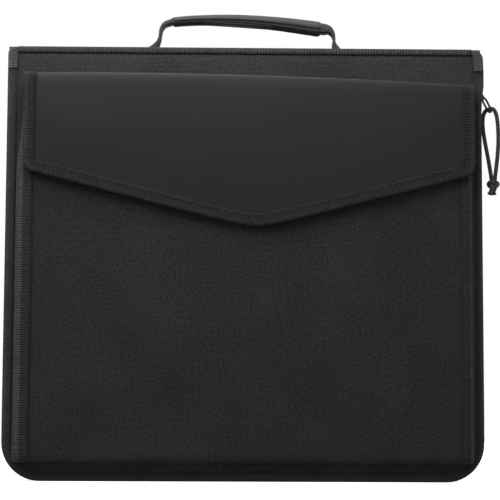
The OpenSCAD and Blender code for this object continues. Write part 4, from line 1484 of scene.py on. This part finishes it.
handle_strap()
handle_grip()
for strap_side in SIDES:
    strap_end(*strap_side)

# Pull tab

TAB_T = 1.2 * MM
TAB_TURN = (math.radians(25), math.radians(40))
TAB_TURN_RUN = (7 * MM, 12 * MM)
TAB_RIM = 1.5 * MM
EYE_RIM = 1.0 * MM
# The tab's neck in millimetres: half its width, and how far from the pivot
TAB_NECK = [(1.9, 5.8), (1.8, 7.0), (1.6, 8.4), (1.6, 10), (1.7, 11.6), (1.6, 13.4)]


def pull_tab():
    """Metal tab: an eye round the slider's arch, a neck, and a long slot for the cord."""
    pivot = joint_at["tab_swing"]
    length = (hook - pivot).length
    along = (hook - pivot) / length
    facing = along.cross(BACK)

    def at(across, run, lift):
        turn = TAB_TURN[0] + (TAB_TURN[1] - TAB_TURN[0]) * ease(run, *TAB_TURN_RUN)
        side = BACK * math.cos(turn) + facing * math.sin(turn)
        normal = facing * math.cos(turn) - BACK * math.sin(turn)
        return pivot + along * run + side * across + normal * lift

    def rim(name, line, wide):
        """A closed rim of the plate round a line of (across, run) points."""
        rings = []
        for i in range(len(line) + 1):
            p = Vector(line[i % len(line)])
            way = Vector(line[(i + 1) % len(line)]) - Vector(line[i - 1])
            out = Vector((-way.y, way.x)).normalized()
            rings.append([at(*(p + out * a), b) for a, b in flat_oval(wide, TAB_T, 16, 0.5)])
        return loft(name, rings, ZIP_METAL)

    eye_half, eye_low, eye_r = 2.2 * MM, 6.2 * MM, 0.9 * MM
    eye = []
    for x, z, start in ((1, 1, 0), (-1, 1, 90), (-1, -1, 180), (1, -1, 270)):
        middle = (x * (eye_half - eye_r), eye_low / 2 + z * (eye_low / 2 - eye_r))
        eye += arc(middle, eye_r, start, start + 90, 4)
    slot_half, slot_top, slot_low = 2.9 * MM, length - 9 * MM, length + 2.5 * MM
    slot = arc((0, slot_low - slot_half), slot_half, 0, 180, 12)
    slot += arc((0, slot_top + slot_half), slot_half, 180, 360, 12)
    neck = [[at(a, run * MM, b) for a, b in flat_oval(2 * half * MM, TAB_T, 16, 0.4)]
            for half, run in TAB_NECK]
    pieces = [rim("tab_eye", eye, EYE_RIM), rim("tab_slot", slot, TAB_RIM),
              loft("tab_neck", neck, ZIP_METAL)]
    place(joined("zip_pull_tab", pieces), "tab", "zip_metal", "pull_tab")


pull_tab()

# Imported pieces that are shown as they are

def dress(node, finish, bevel=0.0):
    """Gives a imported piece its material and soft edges."""
    piece = frame["nodes"][node]
    piece.data.materials.clear()
    piece.data.materials.append(finish)
    if bevel:
        soft = piece.modifiers.new("soft_edges", "BEVEL")
        soft.width = bevel
        soft.segments = 2
        soft.limit_method = "ANGLE"
        soft.angle_limit = math.radians(40)


for tray in ("front", "back"):
    dress(f"{tray}_board", BOARD)
    dress(f"{tray}_zip_teeth", TEETH)
    dress(f"{tray}_zip_stops", ZIP_METAL, 0.15 * MM)
dress("spine_board", BOARD)
dress("zip_slider", ZIP_METAL, 0.3 * MM)

# Floor and studio light

FLOOR_REACH = 6.0
FILL_LIGHT = 0.38
# Name, place, what it points at, width and power
LIGHTS = [
    ("overhead", (-0.06, -0.21, 0.68), (0, -0.05, 0.1), 0.5, 5.0),
    ("front", (0.3, -1.9, 0.3), (0, 0, 0.15), 1.2, 3.0),
    ("upper_left", (-0.5, -0.35, 0.75), (-0.14, 0, 0.28), 0.4, 2.6),
    ("behind", (0.5, 1.7, 0.35), (0, 0, 0.15), 1.2, 16.0)
]


def area_light(name, at, aim, size, power):
    """A soft square light."""
    data = bpy.data.lights.new(name, "AREA")
    data.size = size
    data.energy = power
    lamp = bpy.data.objects.new(name, data)
    lamp.location = at
    lamp.rotation_euler = (Vector(aim) - Vector(at)).to_track_quat("-Z", "Y").to_euler()
    lamp.visible_camera = False
    bpy.context.scene.collection.objects.link(lamp)


def studio():
    """Pale floor, white surroundings and soft lights."""
    square = [(0, 0), (1, 0), (1, 1), (0, 1)]
    corners = [((2 * x - 1) * FLOOR_REACH, (2 * y - 1) * FLOOR_REACH, 0) for x, y in square]
    floor = build("floor", corners, [[0, 1, 2, 3]], [square], floor_paint("floor_paint"))
    floor.visible_diffuse = False
    floor.visible_glossy = False
    world = bpy.data.worlds.new("studio")
    bpy.context.scene.world = world
    world.use_nodes = True
    tree = world.node_tree
    sky = tree.nodes["Background"]
    path = tree.nodes.new("ShaderNodeLightPath")
    mix = tree.nodes.new("ShaderNodeMapRange")
    mix.inputs["To Min"].default_value = FILL_LIGHT
    mix.inputs["To Max"].default_value = 1.0
    tree.links.new(path.outputs["Is Camera Ray"], mix.inputs["Value"])
    tree.links.new(mix.outputs[0], sky.inputs["Strength"])
    sky.inputs["Color"].default_value = (1, 1, 1, 1)
    for light in LIGHTS:
        area_light(*light)
    bpy.context.scene.view_settings.view_transform = "Standard"


studio()
